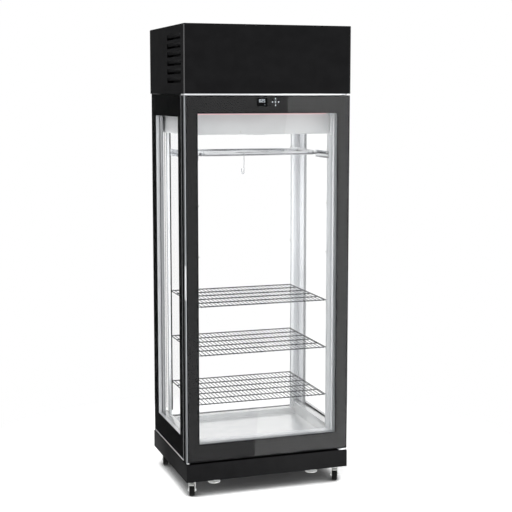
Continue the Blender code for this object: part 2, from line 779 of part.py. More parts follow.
def build_floor():
    """Insulated floor panel, bright seam ring and stainless tray."""
    flange_x = HALF_WIDTH - FLOOR_FLANGE_INSET
    seam_x = HALF_WIDTH - TRIM_INSET
    seam_rear = REAR_Y - TRIM_INSET
    opening_x = seam_x - TRIM_WIDTH
    opening_rear = seam_rear - TRIM_WIDTH
    panel = box(
        "floor_panel",
        (-flange_x, BODY_FRONT, DECK_BOTTOM),
        (flange_x, REAR_Y - FLOOR_FLANGE_INSET, DECK_TOP),
        BLACK_STEEL,
    )
    core = boxes("floor_insulation", [(
        (GAP - opening_x, CHAMBER_FRONT, DECK_BOTTOM + FLOOR_FLANGE / 2),
        (opening_x - GAP, opening_rear - GAP, FLOOR_HEIGHT - SHEET - GAP),
    )])
    join(panel, core)
    outer = rectangle((-seam_x, BODY_FRONT), (seam_x, seam_rear))
    inner = rectangle((-opening_x, CHAMBER_FRONT - GAP), (opening_x, opening_rear))
    sheet("lower_trim", [outer, inner], "Z", SEAM_BOTTOM, SEAM_TOP, BRIGHT_ALUMINIUM)

    tray = box(
        "floor_tray",
        (-CHAMBER_X, CHAMBER_FRONT, FLOOR_HEIGHT - SHEET),
        (CHAMBER_X, CHAMBER_REAR, FLOOR_HEIGHT),
        STAINLESS,
    )
    rear_face = CHAMBER_REAR - REAR_RAIL_WIDTH
    side_face = CHAMBER_X - SIDE_RAIL_WIDTH
    base = FLOOR_HEIGHT - SHEET
    walls = [
        ((-CHAMBER_X, rear_face, base), (CHAMBER_X, rear_face + SHEET, REAR_RAIL_TOP)),
        ((-CHAMBER_X, rear_face, REAR_RAIL_TOP - SHEET), (CHAMBER_X, CHAMBER_REAR, REAR_RAIL_TOP)),
        ((-CHAMBER_X, CHAMBER_FRONT, base),
         (CHAMBER_X, CHAMBER_FRONT + SHEET, FLOOR_HEIGHT + FRONT_LIP_HEIGHT)),
    ]
    for side in (-1, 1):
        face = sorted((side * side_face, side * (side_face + SHEET)))
        wide = sorted((side * side_face, side * CHAMBER_X))
        walls.append(((face[0], CHAMBER_FRONT, base), (face[1], CHAMBER_REAR, SIDE_RAIL_TOP)))
        walls.append((
            (wide[0], CHAMBER_FRONT, SIDE_RAIL_TOP - SHEET), (wide[1], CHAMBER_REAR, SIDE_RAIL_TOP),
        ))
    for index, wall in enumerate(walls):
        join(tray, boxes("tray_wall_%d" % index, [wall]))


def build_front_frame():
    """Steel ring behind the door, on which the gasket lands."""
    outer = rectangle((-CHAMBER_X, GLAZING_BOTTOM), (CHAMBER_X, GLAZING_TOP))
    inner = rectangle(
        (-FRAME_OPENING_X, FRAME_RING_SILL), (FRAME_OPENING_X, GLAZING_TOP - FRONT_FRAME_TOP),
    )
    sheet("front_frame", [outer, inner], "Y", BODY_FRONT, FRAME_RING_BACK, BRIGHT_ALUMINIUM)


def glazing_unit(label, normal, outline, window, outer_face, inward):
    """Outer pane, black border with spacer, and inner pane, stacked inwards along an axis."""
    def layer(name, outlines, start, thickness, material):
        ends = sorted((outer_face + inward * start, outer_face + inward * (start + thickness)))
        sheet(name, outlines, normal, ends[0], ends[1], material)

    border = GLAZING_THICKNESS - 2 * (PANE + GAP)
    layer(label + "_outer_pane", [outline], 0, PANE, CLEAR_GLASS)
    layer(label + "_glass_border", [outline, window], PANE + GAP, border, BLACK_ENAMEL)
    layer(label + "_inner_pane", [outline], GLAZING_THICKNESS - PANE, PANE, CLEAR_GLASS)


def build_glazing():
    """Double glazing on the left, right and rear."""
    outline = rectangle((BODY_FRONT, GLAZING_BOTTOM), (GLAZING_OUTER_Y, GLAZING_TOP))
    window = rectangle(
        (BODY_FRONT + SIDE_BORDER_FRONT, GLAZING_BOTTOM + SIDE_BORDER_BOTTOM),
        (GLAZING_OUTER_Y - SIDE_BORDER_REAR, GLAZING_TOP - BORDER_TOP),
    )
    glazing_unit("left", "X", outline, window, -GLAZING_OUTER_X, 1)
    glazing_unit("right", "X", outline, window, GLAZING_OUTER_X, -1)
    rear_outline = rectangle((-CHAMBER_X, GLAZING_BOTTOM), (CHAMBER_X, GLAZING_TOP))
    rear_x = CHAMBER_X - REAR_BORDER_SIDE
    rear_window = rectangle(
        (-rear_x, GLAZING_BOTTOM + REAR_BORDER_BOTTOM), (rear_x, GLAZING_TOP - BORDER_TOP),
    )
    glazing_unit("rear", "Y", rear_outline, rear_window, GLAZING_OUTER_Y, -1)


def build_posts():
    """Grooved polished angle profiles in the rear corners, on the tray's side rails."""
    outline = [(CHAMBER_X, CHAMBER_REAR)]
    outline.append((CHAMBER_X - POST_LEG_X, CHAMBER_REAR))
    outline.append((CHAMBER_X - POST_LEG_X, CHAMBER_REAR - POST_WALL - POST_RIB))
    outline.append((CHAMBER_X - POST_LEG_X / 2, CHAMBER_REAR - POST_WALL - POST_RIB))
    outline.append((CHAMBER_X - POST_LEG_X / 2, CHAMBER_REAR - POST_WALL))
    outline.append((CHAMBER_X - POST_WALL, CHAMBER_REAR - POST_WALL))
    proud = False
    for share in POST_GROOVE_SHARES:
        y = CHAMBER_REAR - POST_LEG_Y * share
        before = CHAMBER_X - POST_WALL - (POST_RIB if proud else 0)
        after = CHAMBER_X - POST_WALL - (0 if proud else POST_RIB)
        outline.append((before, y))
        outline.append((after, y))
        proud = not proud
    outline.append((CHAMBER_X - POST_WALL, CHAMBER_REAR - POST_LEG_Y))
    outline.append((CHAMBER_X, CHAMBER_REAR - POST_LEG_Y))
    bottom = SIDE_RAIL_TOP + GAP
    sheet("post_rear_right", [outline], "Z", bottom, GLAZING_TOP, BRIGHT_ALUMINIUM)
    mirrored = [(-x, y) for x, y in outline]
    sheet("post_rear_left", [mirrored], "Z", bottom, GLAZING_TOP, BRIGHT_ALUMINIUM)


def build_standards():
    """Four channel uprights with a clip under each shelf."""
    shelf_rows = list(SHELF_HEIGHTS.values())
    corners = {
        "front_left": (-1, STANDARD_FRONT_Y, FRAME_RING_SILL + GAP),
        "front_right": (1, STANDARD_FRONT_Y, FRAME_RING_SILL + GAP),
        "rear_left": (-1, STANDARD_REAR_Y, REAR_RAIL_TOP + GAP),
        "rear_right": (1, STANDARD_REAR_Y, REAR_RAIL_TOP + GAP),
    }
    half = STANDARD_WIDTH / 2
    web = STANDARD_OUTER_X - STANDARD_WALL
    for label, (side, y, bottom) in corners.items():
        outline = [
            (side * STANDARD_OUTER_X, y - half),
            (side * STANDARD_OUTER_X, y + half),
            (side * STANDARD_INNER_X, y + half),
            (side * STANDARD_INNER_X, y + half - STANDARD_WALL),
            (side * web, y + half - STANDARD_WALL),
            (side * web, y - half + STANDARD_WALL),
            (side * STANDARD_INNER_X, y - half + STANDARD_WALL),
            (side * STANDARD_INNER_X, y - half),
        ]
        name = "shelf_standard_" + label
        standard = solid_from_curve(sheet(name, [outline], "Z", bottom, STANDARD_TOP, STAINLESS))
        clips = []
        for height in shelf_rows:
            clip_top = height - SHELF_WIRE / 2 - GAP
            ends = sorted((side * (STANDARD_INNER_X - CLIP_REACH), side * (web + STANDARD_WALL / 2)))
            clips.append((
                (ends[0], y - CLIP_WIDTH / 2, clip_top - CLIP_THICKNESS),
                (ends[1], y + CLIP_WIDTH / 2, clip_top),
            ))
        join(standard, boxes(name + "_clips", clips))


def build_shelves():
    """Three wire shelves that rest on the clips."""
    half_x = STANDARD_INNER_X - SHELF_SIDE_CLEARANCE - SHELF_WIRE / 2
    front = STANDARD_FRONT_Y - SHELF_OVERHANG
    rear = STANDARD_REAR_Y + SHELF_OVERHANG
    for label, height in SHELF_HEIGHTS.items():
        name = "shelf_" + label
        bm = bmesh.new()
        bmesh.ops.create_grid(bm, x_segments=SHELF_COLUMNS, y_segments=SHELF_BAYS, size=0.5)
        bmesh.ops.scale(bm, vec=(2 * half_x, rear - front, 1), verts=bm.verts)
        bmesh.ops.translate(bm, vec=(0, (front + rear) / 2, 0), verts=bm.verts)
        shelf = place(name, mesh_of(bm, name), CHROME, (0, 0, height))
        wires = shelf.modifiers.new("wires", "WIREFRAME")
        wires.thickness = SHELF_WIRE
        wires.use_boundary = True
        wires.use_even_offset = False


def build_rail():
    """Hanging rail: a tube ring held to the four standards by bracket plates."""
    x = RAIL_HALF_WIDTH - RAIL_CORNER
    front = RAIL_FRONT_Y + RAIL_CORNER
    rear = RAIL_REAR_Y - RAIL_CORNER
    ring = []
    for centre, start in (((x, rear), 0), ((-x, rear), 90), ((-x, front), 180), ((x, front), 270)):
        ring += arc(centre, RAIL_CORNER, start, 90, RAIL_CORNER_STEPS)
    points = [(px, py, RAIL_HEIGHT) for px, py in ring]
    rail = solid_from_curve(tube("hang_rail", points, RAIL_RADIUS, CHROME, closed=True))
    top = RAIL_HEIGHT + RAIL_BRACKET_TOP
    half = STANDARD_WIDTH / 2
    plate_outer = STANDARD_INNER_X - GAP
    plate_inner = plate_outer - RAIL_BRACKET_WALL
    seat_inner = RAIL_HALF_WIDTH
    lap = RAIL_BRACKET_LAP
    for side in (-1, 1):
        plate_x = sorted((side * plate_inner, side * plate_outer))
        seat_x = sorted((side * seat_inner, side * (plate_inner + RAIL_BRACKET_WALL / 2)))
        for label, low_y, high_y, seat_low in (
            ("front", STANDARD_FRONT_Y - half, front + lap, front),
            ("rear", rear - lap, STANDARD_REAR_Y + half, rear - lap),
        ):
            name = "rail_bracket_%s_%d" % (label, side)
            plate = boxes(name, [(
                (plate_x[0], low_y, top - RAIL_BRACKET_HEIGHT), (plate_x[1], high_y, top),
            )])
            seat = boxes(name + "_seat", [(
                (seat_x[0], seat_low, RAIL_HEIGHT - RAIL_RADIUS / 2),
                (seat_x[1], seat_low + lap, RAIL_HEIGHT + RAIL_RADIUS / 2),
            )])
            join(rail, plate, seat)
    return smooth(rail)


def build_hook():
    """S-hook of round wire that hangs on the rail's front run."""
    wrap = RAIL_RADIUS + GAP + HOOK_WIRE
    top = arc((0, 0), wrap, 180 - HOOK_WRAP_TURN, HOOK_WRAP_TURN, HOOK_ARC_STEPS)
    crook_centre = (HOOK_CROOK - wrap, -HOOK_SHANK)
    crook = arc(crook_centre, HOOK_CROOK, 180, HOOK_TIP_TURN, HOOK_ARC_STEPS)
    points = [(0, y, z) for y, z in top + crook]
    hook = tube("meat_hook", points, HOOK_WIRE, CHROME, resolution=1)
    hook.location = (HOOK_X, RAIL_FRONT_Y, RAIL_HEIGHT)


def build_door_shell():
    """Outer pane, black profile with its printed flange, and the grip profile at the free edge."""
    outer = rectangle((DOOR_LEFT, DOOR_BOTTOM), (DOOR_RIGHT, DOOR_TOP))
    window_low = (DOOR_LEFT + DOOR_BORDER_SIDE, DOOR_BOTTOM + DOOR_BORDER_BOTTOM)
    window_high = (DOOR_RIGHT - DOOR_BORDER_SIDE, DOOR_TOP - DOOR_BORDER_TOP)
    window = rectangle(window_low, window_high)
    seat_low = [edge - SPACER_WIDTH for edge in window_low]
    seat_high = [edge + SPACER_WIDTH for edge in window_high]
    seat = rectangle(seat_low, seat_high)
    glass_left = DOOR_LEFT + EDGE_PROFILE_WIDTH + GAP
    pane = rectangle((glass_left, DOOR_BOTTOM), (DOOR_RIGHT, DOOR_TOP))
    sheet("door_outer_pane", [pane], "Y", FRONT_Y, PANE_BACK, CLEAR_GLASS)

    frame = solid_from_curve(sheet(
        "door_frame", [outer, seat], "Y", MASK_BACK - DOOR_MASK / 2, FRAME_BACK, DOOR_BLACK,
    ))
    mask = solid_from_curve(sheet(
        "door_mask", [outer, window], "Y", FRAME_FRONT, MASK_BACK, None,
    ))
    join(frame, mask)
    profile_back = FRONT_Y + EDGE_PROFILE_DEPTH
    profile_right = DOOR_LEFT + EDGE_PROFILE_WIDTH
    rebate = boxes("edge_profile_rebate", [(
        (DOOR_LEFT - OVERRUN, FRONT_Y, DOOR_BOTTOM - OVERRUN),
        (profile_right + GAP, profile_back + GAP, DOOR_TOP + OVERRUN),
    )])
    pocket_front = FRONT_Y + GRIP_POCKET_FRONT
    pocket_low = GRIP_CENTRE_HEIGHT - GRIP_LENGTH / 2
    pocket_high = GRIP_CENTRE_HEIGHT + GRIP_LENGTH / 2
    pocket = boxes("grip_pocket", [(
        (DOOR_LEFT - OVERRUN, pocket_front, pocket_low),
        (DOOR_LEFT + GRIP_POCKET_DEPTH, pocket_front + GRIP_POCKET_WIDTH, pocket_high),
    )])
    pivot_depth = PIVOT_LENGTH + OVERRUN
    pivot_bores = cylinders(
        "pivot_bores",
        [(HINGE_X, HINGE_Y, DOOR_BOTTOM + pivot_depth / 2 - OVERRUN / 2),
         (HINGE_X, HINGE_Y, DOOR_TOP - pivot_depth / 2 + OVERRUN / 2)],
        PIVOT_RADIUS + PIVOT_CLEARANCE, pivot_depth + OVERRUN, "Z",
    )
    low, high = module_corners()
    module_pocket = boxes("module_pocket", [(
        (low[0] - GAP, low[1] - OVERRUN, low[2] - GAP),
        (high[0] + GAP, high[1] + GAP, high[2] + GAP),
    )])
    cut(frame, rebate, pocket, pivot_bores, module_pocket)

    sheet(
        "door_handle",
        [rectangle((DOOR_LEFT, FRONT_Y), (profile_right, profile_back))],
        "Z", DOOR_BOTTOM, DOOR_TOP, GREY_ALUMINIUM,
    )
    return window_low, window_high, seat_low, seat_high


def module_corners():
    """Corners of the display module, flush behind the outer pane."""
    centre_z = DOOR_TOP - MODULE_CENTRE_DROP
    low = (MODULE_CENTRE_X - MODULE_WIDTH / 2, FRAME_FRONT, centre_z - MODULE_HEIGHT / 2)
    high = (
        MODULE_CENTRE_X + MODULE_WIDTH / 2,
        FRAME_FRONT + MODULE_DEPTH,
        centre_z + MODULE_HEIGHT / 2,
    )
    return low, high


def build_door_inside(window_low, window_high, seat_low, seat_high):
    """Spacer, inner pane, rear trim with its lip, gasket and display module."""
    fit_low = [edge + GAP for edge in seat_low]
    fit_high = [edge - GAP for edge in seat_high]
    window = rectangle(window_low, window_high)
    fit = rectangle(fit_low, fit_high)
    sheet("door_spacer", [fit, window], "Y", SPACER_FRONT, SPACER_BACK, GREY_ALUMINIUM)
    sheet("door_inner_pane", [fit], "Y", INNER_PANE_FRONT, INNER_PANE_BACK, CLEAR_GLASS)
    outer = rectangle((DOOR_LEFT, DOOR_BOTTOM), (DOOR_RIGHT, DOOR_TOP))
    trim = solid_from_curve(sheet(
        "door_rear_trim", [outer, window], "Y", DOOR_BACK - REAR_TRIM, DOOR_BACK, BRIGHT_ALUMINIUM,
    ))
    lip = solid_from_curve(sheet(
        "rear_trim_lip", [fit, window], "Y", INNER_PANE_BACK + GAP, DOOR_BACK - REAR_TRIM / 2, None,
    ))
    join(trim, lip)
    gasket_low = [DOOR_LEFT + GASKET_INSET, DOOR_BOTTOM + GASKET_INSET]
    gasket_high = [DOOR_RIGHT - GASKET_INSET, DOOR_TOP - GASKET_INSET]
    gasket_inner_low = [edge + GASKET_WIDTH for edge in gasket_low]
    gasket_inner_high = [edge - GASKET_WIDTH for edge in gasket_high]
    sheet(
        "door_gasket",
        [rectangle(gasket_low, gasket_high), rectangle(gasket_inner_low, gasket_inner_high)],
        "Y", DOOR_BACK + GAP, DOOR_BACK + GAP + GASKET_THICKNESS, SOFT_GASKET,
    )
    low, high = module_corners()
    box("display_module", low, high, BLACK_PLASTIC)


def build_door():
    """The whole door, carried by an empty on its hinge axis."""
    hinge_axis = axis_empty("door_axis", (HINGE_X, HINGE_Y, 0))
    fixed_pieces = set(bpy.data.objects)
    build_door_inside(*build_door_shell())
    for piece in bpy.data.objects:
        if piece not in fixed_pieces:
            piece.parent = hinge_axis
            piece.matrix_parent_inverse = hinge_axis.matrix_basis.inverted()


def build_hinges():
    """Pivot brackets above and below the door, and the bright header strip beside the upper one."""
    plate_back = DOOR_BACK - GAP
    plate_bottom = HOUSING_BOTTOM - DOOR_TOP_GAP + HEADER_CLEARANCE
    top = box(
        "hinge_top",
        (HINGE_PLATE_LEFT, FRONT_Y + GAP, plate_bottom),
        (DOOR_RIGHT, plate_back, GLAZING_TOP),
        BRIGHT_ALUMINIUM,
    )
    top_pin_bottom = DOOR_TOP - PIVOT_LENGTH
    top_pin_length = plate_bottom - top_pin_bottom + GAP
    join(top, cylinders(
        "hinge_top_pin", [(HINGE_X, HINGE_Y, top_pin_bottom + top_pin_length / 2)],
        PIVOT_RADIUS, top_pin_length, "Z",
    ))
    bottom = box(
        "hinge_bottom",
        (HINGE_PLATE_LEFT, FRONT_Y + GAP, BASE_TOP + GAP),
        (DOOR_RIGHT, plate_back, BASE_TOP + HINGE_PLATE_THICKNESS),
        BRIGHT_ALUMINIUM,
    )
    collar_bottom = BASE_TOP + HINGE_PLATE_THICKNESS / 2
    collar_length = DOOR_BOTTOM - GAP - collar_bottom
    collar = cylinders(
        "hinge_bottom_collar", [(HINGE_X, HINGE_Y, collar_bottom + collar_length / 2)],
        PIVOT_COLLAR_RADIUS, collar_length, "Z",
    )
    low_pin_length = DOOR_BOTTOM + PIVOT_LENGTH - collar_bottom
    low_pin = cylinders(
        "hinge_bottom_pin", [(HINGE_X, HINGE_Y, collar_bottom + low_pin_length / 2)],
        PIVOT_RADIUS, low_pin_length, "Z",
    )
    join(bottom, collar, low_pin)
    box(
        "header_trim",
        (DOOR_LEFT, FRONT_Y + GAP, plate_bottom),
        (HINGE_PLATE_LEFT - GAP, plate_back, GLAZING_TOP),
        BRIGHT_ALUMINIUM,
    )


def build_housing():
    """Sheet-steel cover with pressed louvres, its slotted back and the ceiling panel."""
    shell_rear = REAR_Y - SHEET - GAP
    housing = shell(
        "housing_shell",
        (-HALF_WIDTH, FRONT_Y, HOUSING_BOTTOM),
        (HALF_WIDTH, shell_rear, CABINET_HEIGHT),
        [(0, 0, -1), (0, 1, 0)],
        BLACK_STEEL,
    )
    louvre_low = FRONT_Y + LOUVRE_FRONT
    louvre_high = louvre_low + LOUVRE_LENGTH
    first_top = CABINET_HEIGHT - LOUVRE_TOP_DROP
    openings = []
    for index in range(LOUVRE_COUNT):
        top = first_top - index * LOUVRE_PITCH
        openings.append((
            (-HALF_WIDTH - OVERRUN, louvre_low, top - LOUVRE_OPENING),
            (-HALF_WIDTH + SHEET + OVERRUN, louvre_high, top),
        ))
    cut(housing, boxes("louvre_openings", openings))
    join(housing, louvre_blades(first_top, louvre_low, louvre_high))

    back = sheet(
        "housing_back",
        [rectangle(
            (-HALF_WIDTH + EDGE_RADIUS / 2, HOUSING_BOTTOM),
            (HALF_WIDTH - EDGE_RADIUS / 2, CABINET_HEIGHT - EDGE_RADIUS / 2),
        ), *back_openings()],
        "Y", REAR_Y - SHEET, REAR_Y, BLACK_STEEL,
    )
    inset = SHEET + GAP
    ceiling = box(
        "ceiling_panel",
        (-HALF_WIDTH + inset, FRONT_Y + inset, HOUSING_BOTTOM),
        (HALF_WIDTH - inset, shell_rear, CEILING_TOP),
        WHITE_PANEL,
        rounding=EDGE_RADIUS,
    )
    return housing, back, ceiling


def louvre_blades(first_top, louvre_low, louvre_high):
    """Inward blades that hang from the top edge of each louvre opening."""
    tilt = math.radians(LOUVRE_BLADE_TILT)
    bm = bmesh.new()
    for index in range(LOUVRE_COUNT):
        made = bmesh.ops.create_cube(bm, size=1.0)["verts"]
        size = (LOUVRE_BLADE_THICKNESS, louvre_high - louvre_low, LOUVRE_BLADE)
        bmesh.ops.scale(bm, vec=size, verts=made)
        top = first_top - index * LOUVRE_PITCH
        centre_x = -HALF_WIDTH + SHEET / 2 + LOUVRE_BLADE / 2 * math.sin(tilt)
        centre_z = top + SHEET / 2 - LOUVRE_BLADE / 2 * math.cos(tilt)
        for vertex in made:
            x, z = vertex.co.x, vertex.co.z
            vertex.co.x = centre_x + x * math.cos(tilt) - z * math.sin(tilt)
            vertex.co.z = centre_z + x * math.sin(tilt) + z * math.cos(tilt)
            vertex.co.y += (louvre_low + louvre_high) / 2
    return place("louvre_blades", mesh_of(bm, "louvre_blades"), None)


def inlet_corners():
    """Corners of the power inlet, flush with the housing's back."""
    centre_x = HALF_WIDTH - INLET_SIDE_INSET
    centre_z = HOUSING_BOTTOM + INLET_RISE
    low = (centre_x - INLET_WIDTH / 2, REAR_Y - INLET_DEPTH, centre_z - INLET_TALL / 2)
    high = (centre_x + INLET_WIDTH / 2, REAR_Y, centre_z + INLET_TALL / 2)
    return low, high


def back_openings():
    """Air slots and the cut-out of the power inlet."""
    slots = []
    for index in range(SLOT_COUNT):
        top = CABINET_HEIGHT - SLOT_TOP_DROP - index * SLOT_PITCH
        slots.append(rectangle(
            (SLOT_LEFT_INSET - HALF_WIDTH, top - SLOT_HEIGHT),
            (HALF_WIDTH - SLOT_RIGHT_INSET, top),
        ))
    low, high = inlet_corners()
    slots.append(rectangle((low[0] - GAP, low[2] - GAP), (high[0] + GAP, high[2] + GAP)))
    return slots


def fan_rotor(name, centre, axis, radius):
    """Hub with pitched blades and a spindle bore."""
    rotor = cylinders(name, [(0, 0, 0)], FAN_HUB_RADIUS, FAN_HUB_LENGTH, "Z", BLACK_PLASTIC)
    bm = bmesh.new()
    pitch = math.radians(FAN_BLADE_PITCH)
    root = FAN_HUB_RADIUS - OVERRUN
    for index in range(FAN_BLADES):
        made = bmesh.ops.create_cube(bm, size=1.0)["verts"]
        size = (radius - root, FAN_BLADE_CHORD, FAN_BLADE_THICKNESS)
        bmesh.ops.scale(bm, vec=size, verts=made)
        turn = 2 * math.pi * index / FAN_BLADES
        for vertex in made:
            x, y, z = vertex.co
            x += (radius + root) / 2
            y, z = y * math.cos(pitch) - z * math.sin(pitch), y * math.sin(pitch) + z * math.cos(pitch)
            vertex.co = (
                x * math.cos(turn) - y * math.sin(turn), x * math.sin(turn) + y * math.cos(turn), z,
            )
    blades = place(name + "_blades", mesh_of(bm, name + "_blades"), None)
    bore = cylinders(
        name + "_bore", [(0, 0, 0)], SPINDLE_RADIUS + SPINDLE_CLEARANCE,
        FAN_HUB_LENGTH + OVERRUN, "Z", segments=12,
    )
    join(rotor, blades)
    cut(rotor, bore)
    for piece in (rotor, blades, bore):
        piece.location = centre
        piece.rotation_euler = AXIS_TURNS[axis]
    return rotor


def build_condenser():
    """Finned condenser behind the louvres, with its motor and fan on the inner side."""
    coil_left = -HALF_WIDTH + CONDENSER_WALL_GAP
    coil_right = coil_left + CONDENSER_THICKNESS
    coil_bottom = CEILING_TOP + GAP
    coil_front = FRONT_Y + CONDENSER_FRONT_INSET
    coil_rear = coil_front + CONDENSER_LENGTH
    coil = box(
        "condenser_coil",
        (coil_left, coil_front, coil_bottom),
        (coil_right, coil_rear, coil_bottom + CONDENSER_HEIGHT),
        FIN_ALUMINIUM,
    )
    fan_y = (coil_front + coil_rear) / 2
    fan_z = coil_bottom + CONDENSER_HEIGHT / 2
    fan_reach = FAN_BLADE_CHORD / 2
    fan_x = coil_right + FAN_TO_COIL + fan_reach
    motor_left = fan_x + fan_reach + FAN_TO_COIL
    motor = cylinders(
        "condenser_motor", [(motor_left + MOTOR_LENGTH / 2, fan_y, fan_z)], MOTOR_RADIUS,
        MOTOR_LENGTH, "X",
    )
    spindle_length = motor_left - fan_x + FAN_HUB_LENGTH / 2
    spindle = cylinders(
        "condenser_spindle", [(motor_left + OVERRUN - spindle_length / 2, fan_y, fan_z)],
        SPINDLE_RADIUS, spindle_length, "X", segments=12,
    )
    arm_half = MOTOR_ARM / 2
    arm_x = motor_left + MOTOR_LENGTH / 2
    arms = boxes("condenser_motor_arms", [
        ((arm_x - arm_half, fan_y - arm_half, coil_bottom), (arm_x + arm_half, fan_y + arm_half, fan_z)),
    ])
    foot = boxes("condenser_motor_foot", [
        ((coil_right - OVERRUN, fan_y - arm_half, coil_bottom),
         (arm_x + arm_half, fan_y + arm_half, coil_bottom + SHEET)),
    ])
    join(coil, motor, spindle, arms, foot)
    fan_rotor("condenser_fan", (fan_x, fan_y, fan_z), "X", CONDENSER_FAN_RADIUS)


def build_evaporator():
    """Evaporator under the ceiling, with its motor and fan, in a grey cover."""
    cover = shell(
        "evaporator_cover",
        (-COVER_HALF_WIDTH, CHAMBER_FRONT, COVER_BOTTOM),
        (COVER_HALF_WIDTH, COVER_REAR_Y, GLAZING_TOP),
        [(0, 0, 1)],
        GREY_STEEL,
    )
    inlet = cylinders(
        "cover_inlet", [(0, EVAPORATOR_FAN_Y, COVER_BOTTOM)], COVER_INLET_RADIUS, 2 * EDGE_RADIUS, "Z",
        segments=24,
    )
    outlet_middle = (COVER_BOTTOM + GLAZING_TOP) / 2
    outlet_x = COVER_HALF_WIDTH - COVER_OUTLET_END
    outlet = boxes("cover_outlet", [(
        (-outlet_x, COVER_REAR_Y - EDGE_RADIUS, outlet_middle - COVER_OUTLET_HEIGHT / 2),
        (outlet_x, COVER_REAR_Y + EDGE_RADIUS, outlet_middle + COVER_OUTLET_HEIGHT / 2),
    )])
    cut(cover, inlet, outlet)
    coil_top = GLAZING_TOP
    coil_bottom = coil_top - EVAPORATOR_HEIGHT
    coil_rear = COVER_REAR_Y - EVAPORATOR_REAR_ROOM
    coil_front = coil_rear - EVAPORATOR_DEPTH
    coil = box(
        "evaporator_coil",
        (EVAPORATOR_LEFT_ROOM - COVER_HALF_WIDTH, coil_front, coil_bottom),
        (COVER_HALF_WIDTH - EVAPORATOR_RIGHT_ROOM, coil_rear, coil_top),
        FIN_ALUMINIUM,
    )
    fan_z = COVER_BOTTOM + EVAPORATOR_FAN_RISE
    fan_reach = FAN_BLADE_CHORD / 2
    motor_bottom = fan_z + fan_reach + FAN_TO_COIL
    motor_top = motor_bottom + MOTOR_LENGTH
    motor = cylinders(
        "evaporator_motor", [(0, EVAPORATOR_FAN_Y, motor_bottom + MOTOR_LENGTH / 2)], MOTOR_RADIUS,
        MOTOR_LENGTH, "Z",
    )
    spindle_length = motor_bottom - fan_z + FAN_HUB_LENGTH / 2
    spindle = cylinders(
        "evaporator_spindle", [(0, EVAPORATOR_FAN_Y, motor_bottom + OVERRUN - spindle_length / 2)],
        SPINDLE_RADIUS, spindle_length, "Z", segments=12,
    )
    arm_half = MOTOR_ARM / 2
    arm = boxes("evaporator_motor_arm", [(
        (-arm_half, EVAPORATOR_FAN_Y, motor_top - arm_half),
        (arm_half, coil_front + OVERRUN, motor_top + arm_half),
    )])
    join(coil, motor, spindle, arm)
    fan_rotor("evaporator_fan", (0, EVAPORATOR_FAN_Y, fan_z), "Z", EVAPORATOR_FAN_RADIUS)


def build_machine_parts():
    """Compressor on its plate, control box and power inlet."""
    plate_bottom = CEILING_TOP + GAP
    plate_top = plate_bottom + COMPRESSOR_FOOT
    half_plate = COMPRESSOR_PLATE / 2
    can_bottom = plate_top
    can_top = can_bottom + COMPRESSOR_HEIGHT
    shoulder = COMPRESSOR_DOME
    profile = [
        (0, can_top),
        (COMPRESSOR_RADIUS / 2, can_top - shoulder / 5),
        (COMPRESSOR_RADIUS - shoulder / 3, can_top - shoulder / 2),
        (COMPRESSOR_RADIUS, can_top - shoulder),
        (COMPRESSOR_RADIUS, can_bottom + shoulder / 2),
        (COMPRESSOR_RADIUS - shoulder / 2, can_bottom - COMPRESSOR_PLATE_THICKNESS / 2),
        (0, can_bottom - COMPRESSOR_PLATE_THICKNESS / 2),
    ]
    middle_x = HALF_WIDTH - COMPRESSOR_SIDE_INSET
    middle_y = REAR_Y - COMPRESSOR_REAR_INSET
    can = turned("compressor", profile, BLACK_STEEL, (middle_x, middle_y, 0), steps=20)
    plate = boxes("compressor_plate", [(
        (middle_x - half_plate, middle_y - half_plate, plate_top - COMPRESSOR_PLATE_THICKNESS),
        (middle_x + half_plate, middle_y + half_plate, plate_top),
    )])
    reach = half_plate - COMPRESSOR_FOOT
    feet = cylinders(
        "compressor_feet",
        [(middle_x + sx * reach, middle_y + sy * reach,
          plate_bottom + (COMPRESSOR_FOOT - GAP) / 2)
         for sx in (-1, 1) for sy in (-1, 1)],
        COMPRESSOR_FOOT / 2, COMPRESSOR_FOOT - GAP, "Z", segments=10,
    )
    join(can, plate, feet)
    width, depth, height = CONTROL_SIZE
    control_right = HALF_WIDTH - CONTROL_SIDE_INSET
    control_front = FRONT_Y + CONTROL_FRONT_INSET
    box(
        "control_box",
        (control_right - width, control_front, plate_bottom),
        (control_right, control_front + depth, plate_bottom + height),
        GREY_STEEL,
        rounding=SHEET,
    )
    low, high = inlet_corners()
    box("power_inlet", low, high, BLACK_PLASTIC)


build_base()
build_casters()
build_feet()
build_floor()
build_front_frame()
build_glazing()
build_posts()
build_standards()
build_shelves()
build_rail()
build_hook()
build_door()
build_hinges()
build_housing()
build_condenser()
build_evaporator()
build_machine_parts()
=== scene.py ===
"""Dry aging cabinet: its finishes and fine pieces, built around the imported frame.

Metres, +Z up, the door faces -Y. Each piece is modelled in edit mode, finished at the origin and
rides on a body of the frame. Run it as a script: main() calls every operator in order.
"""

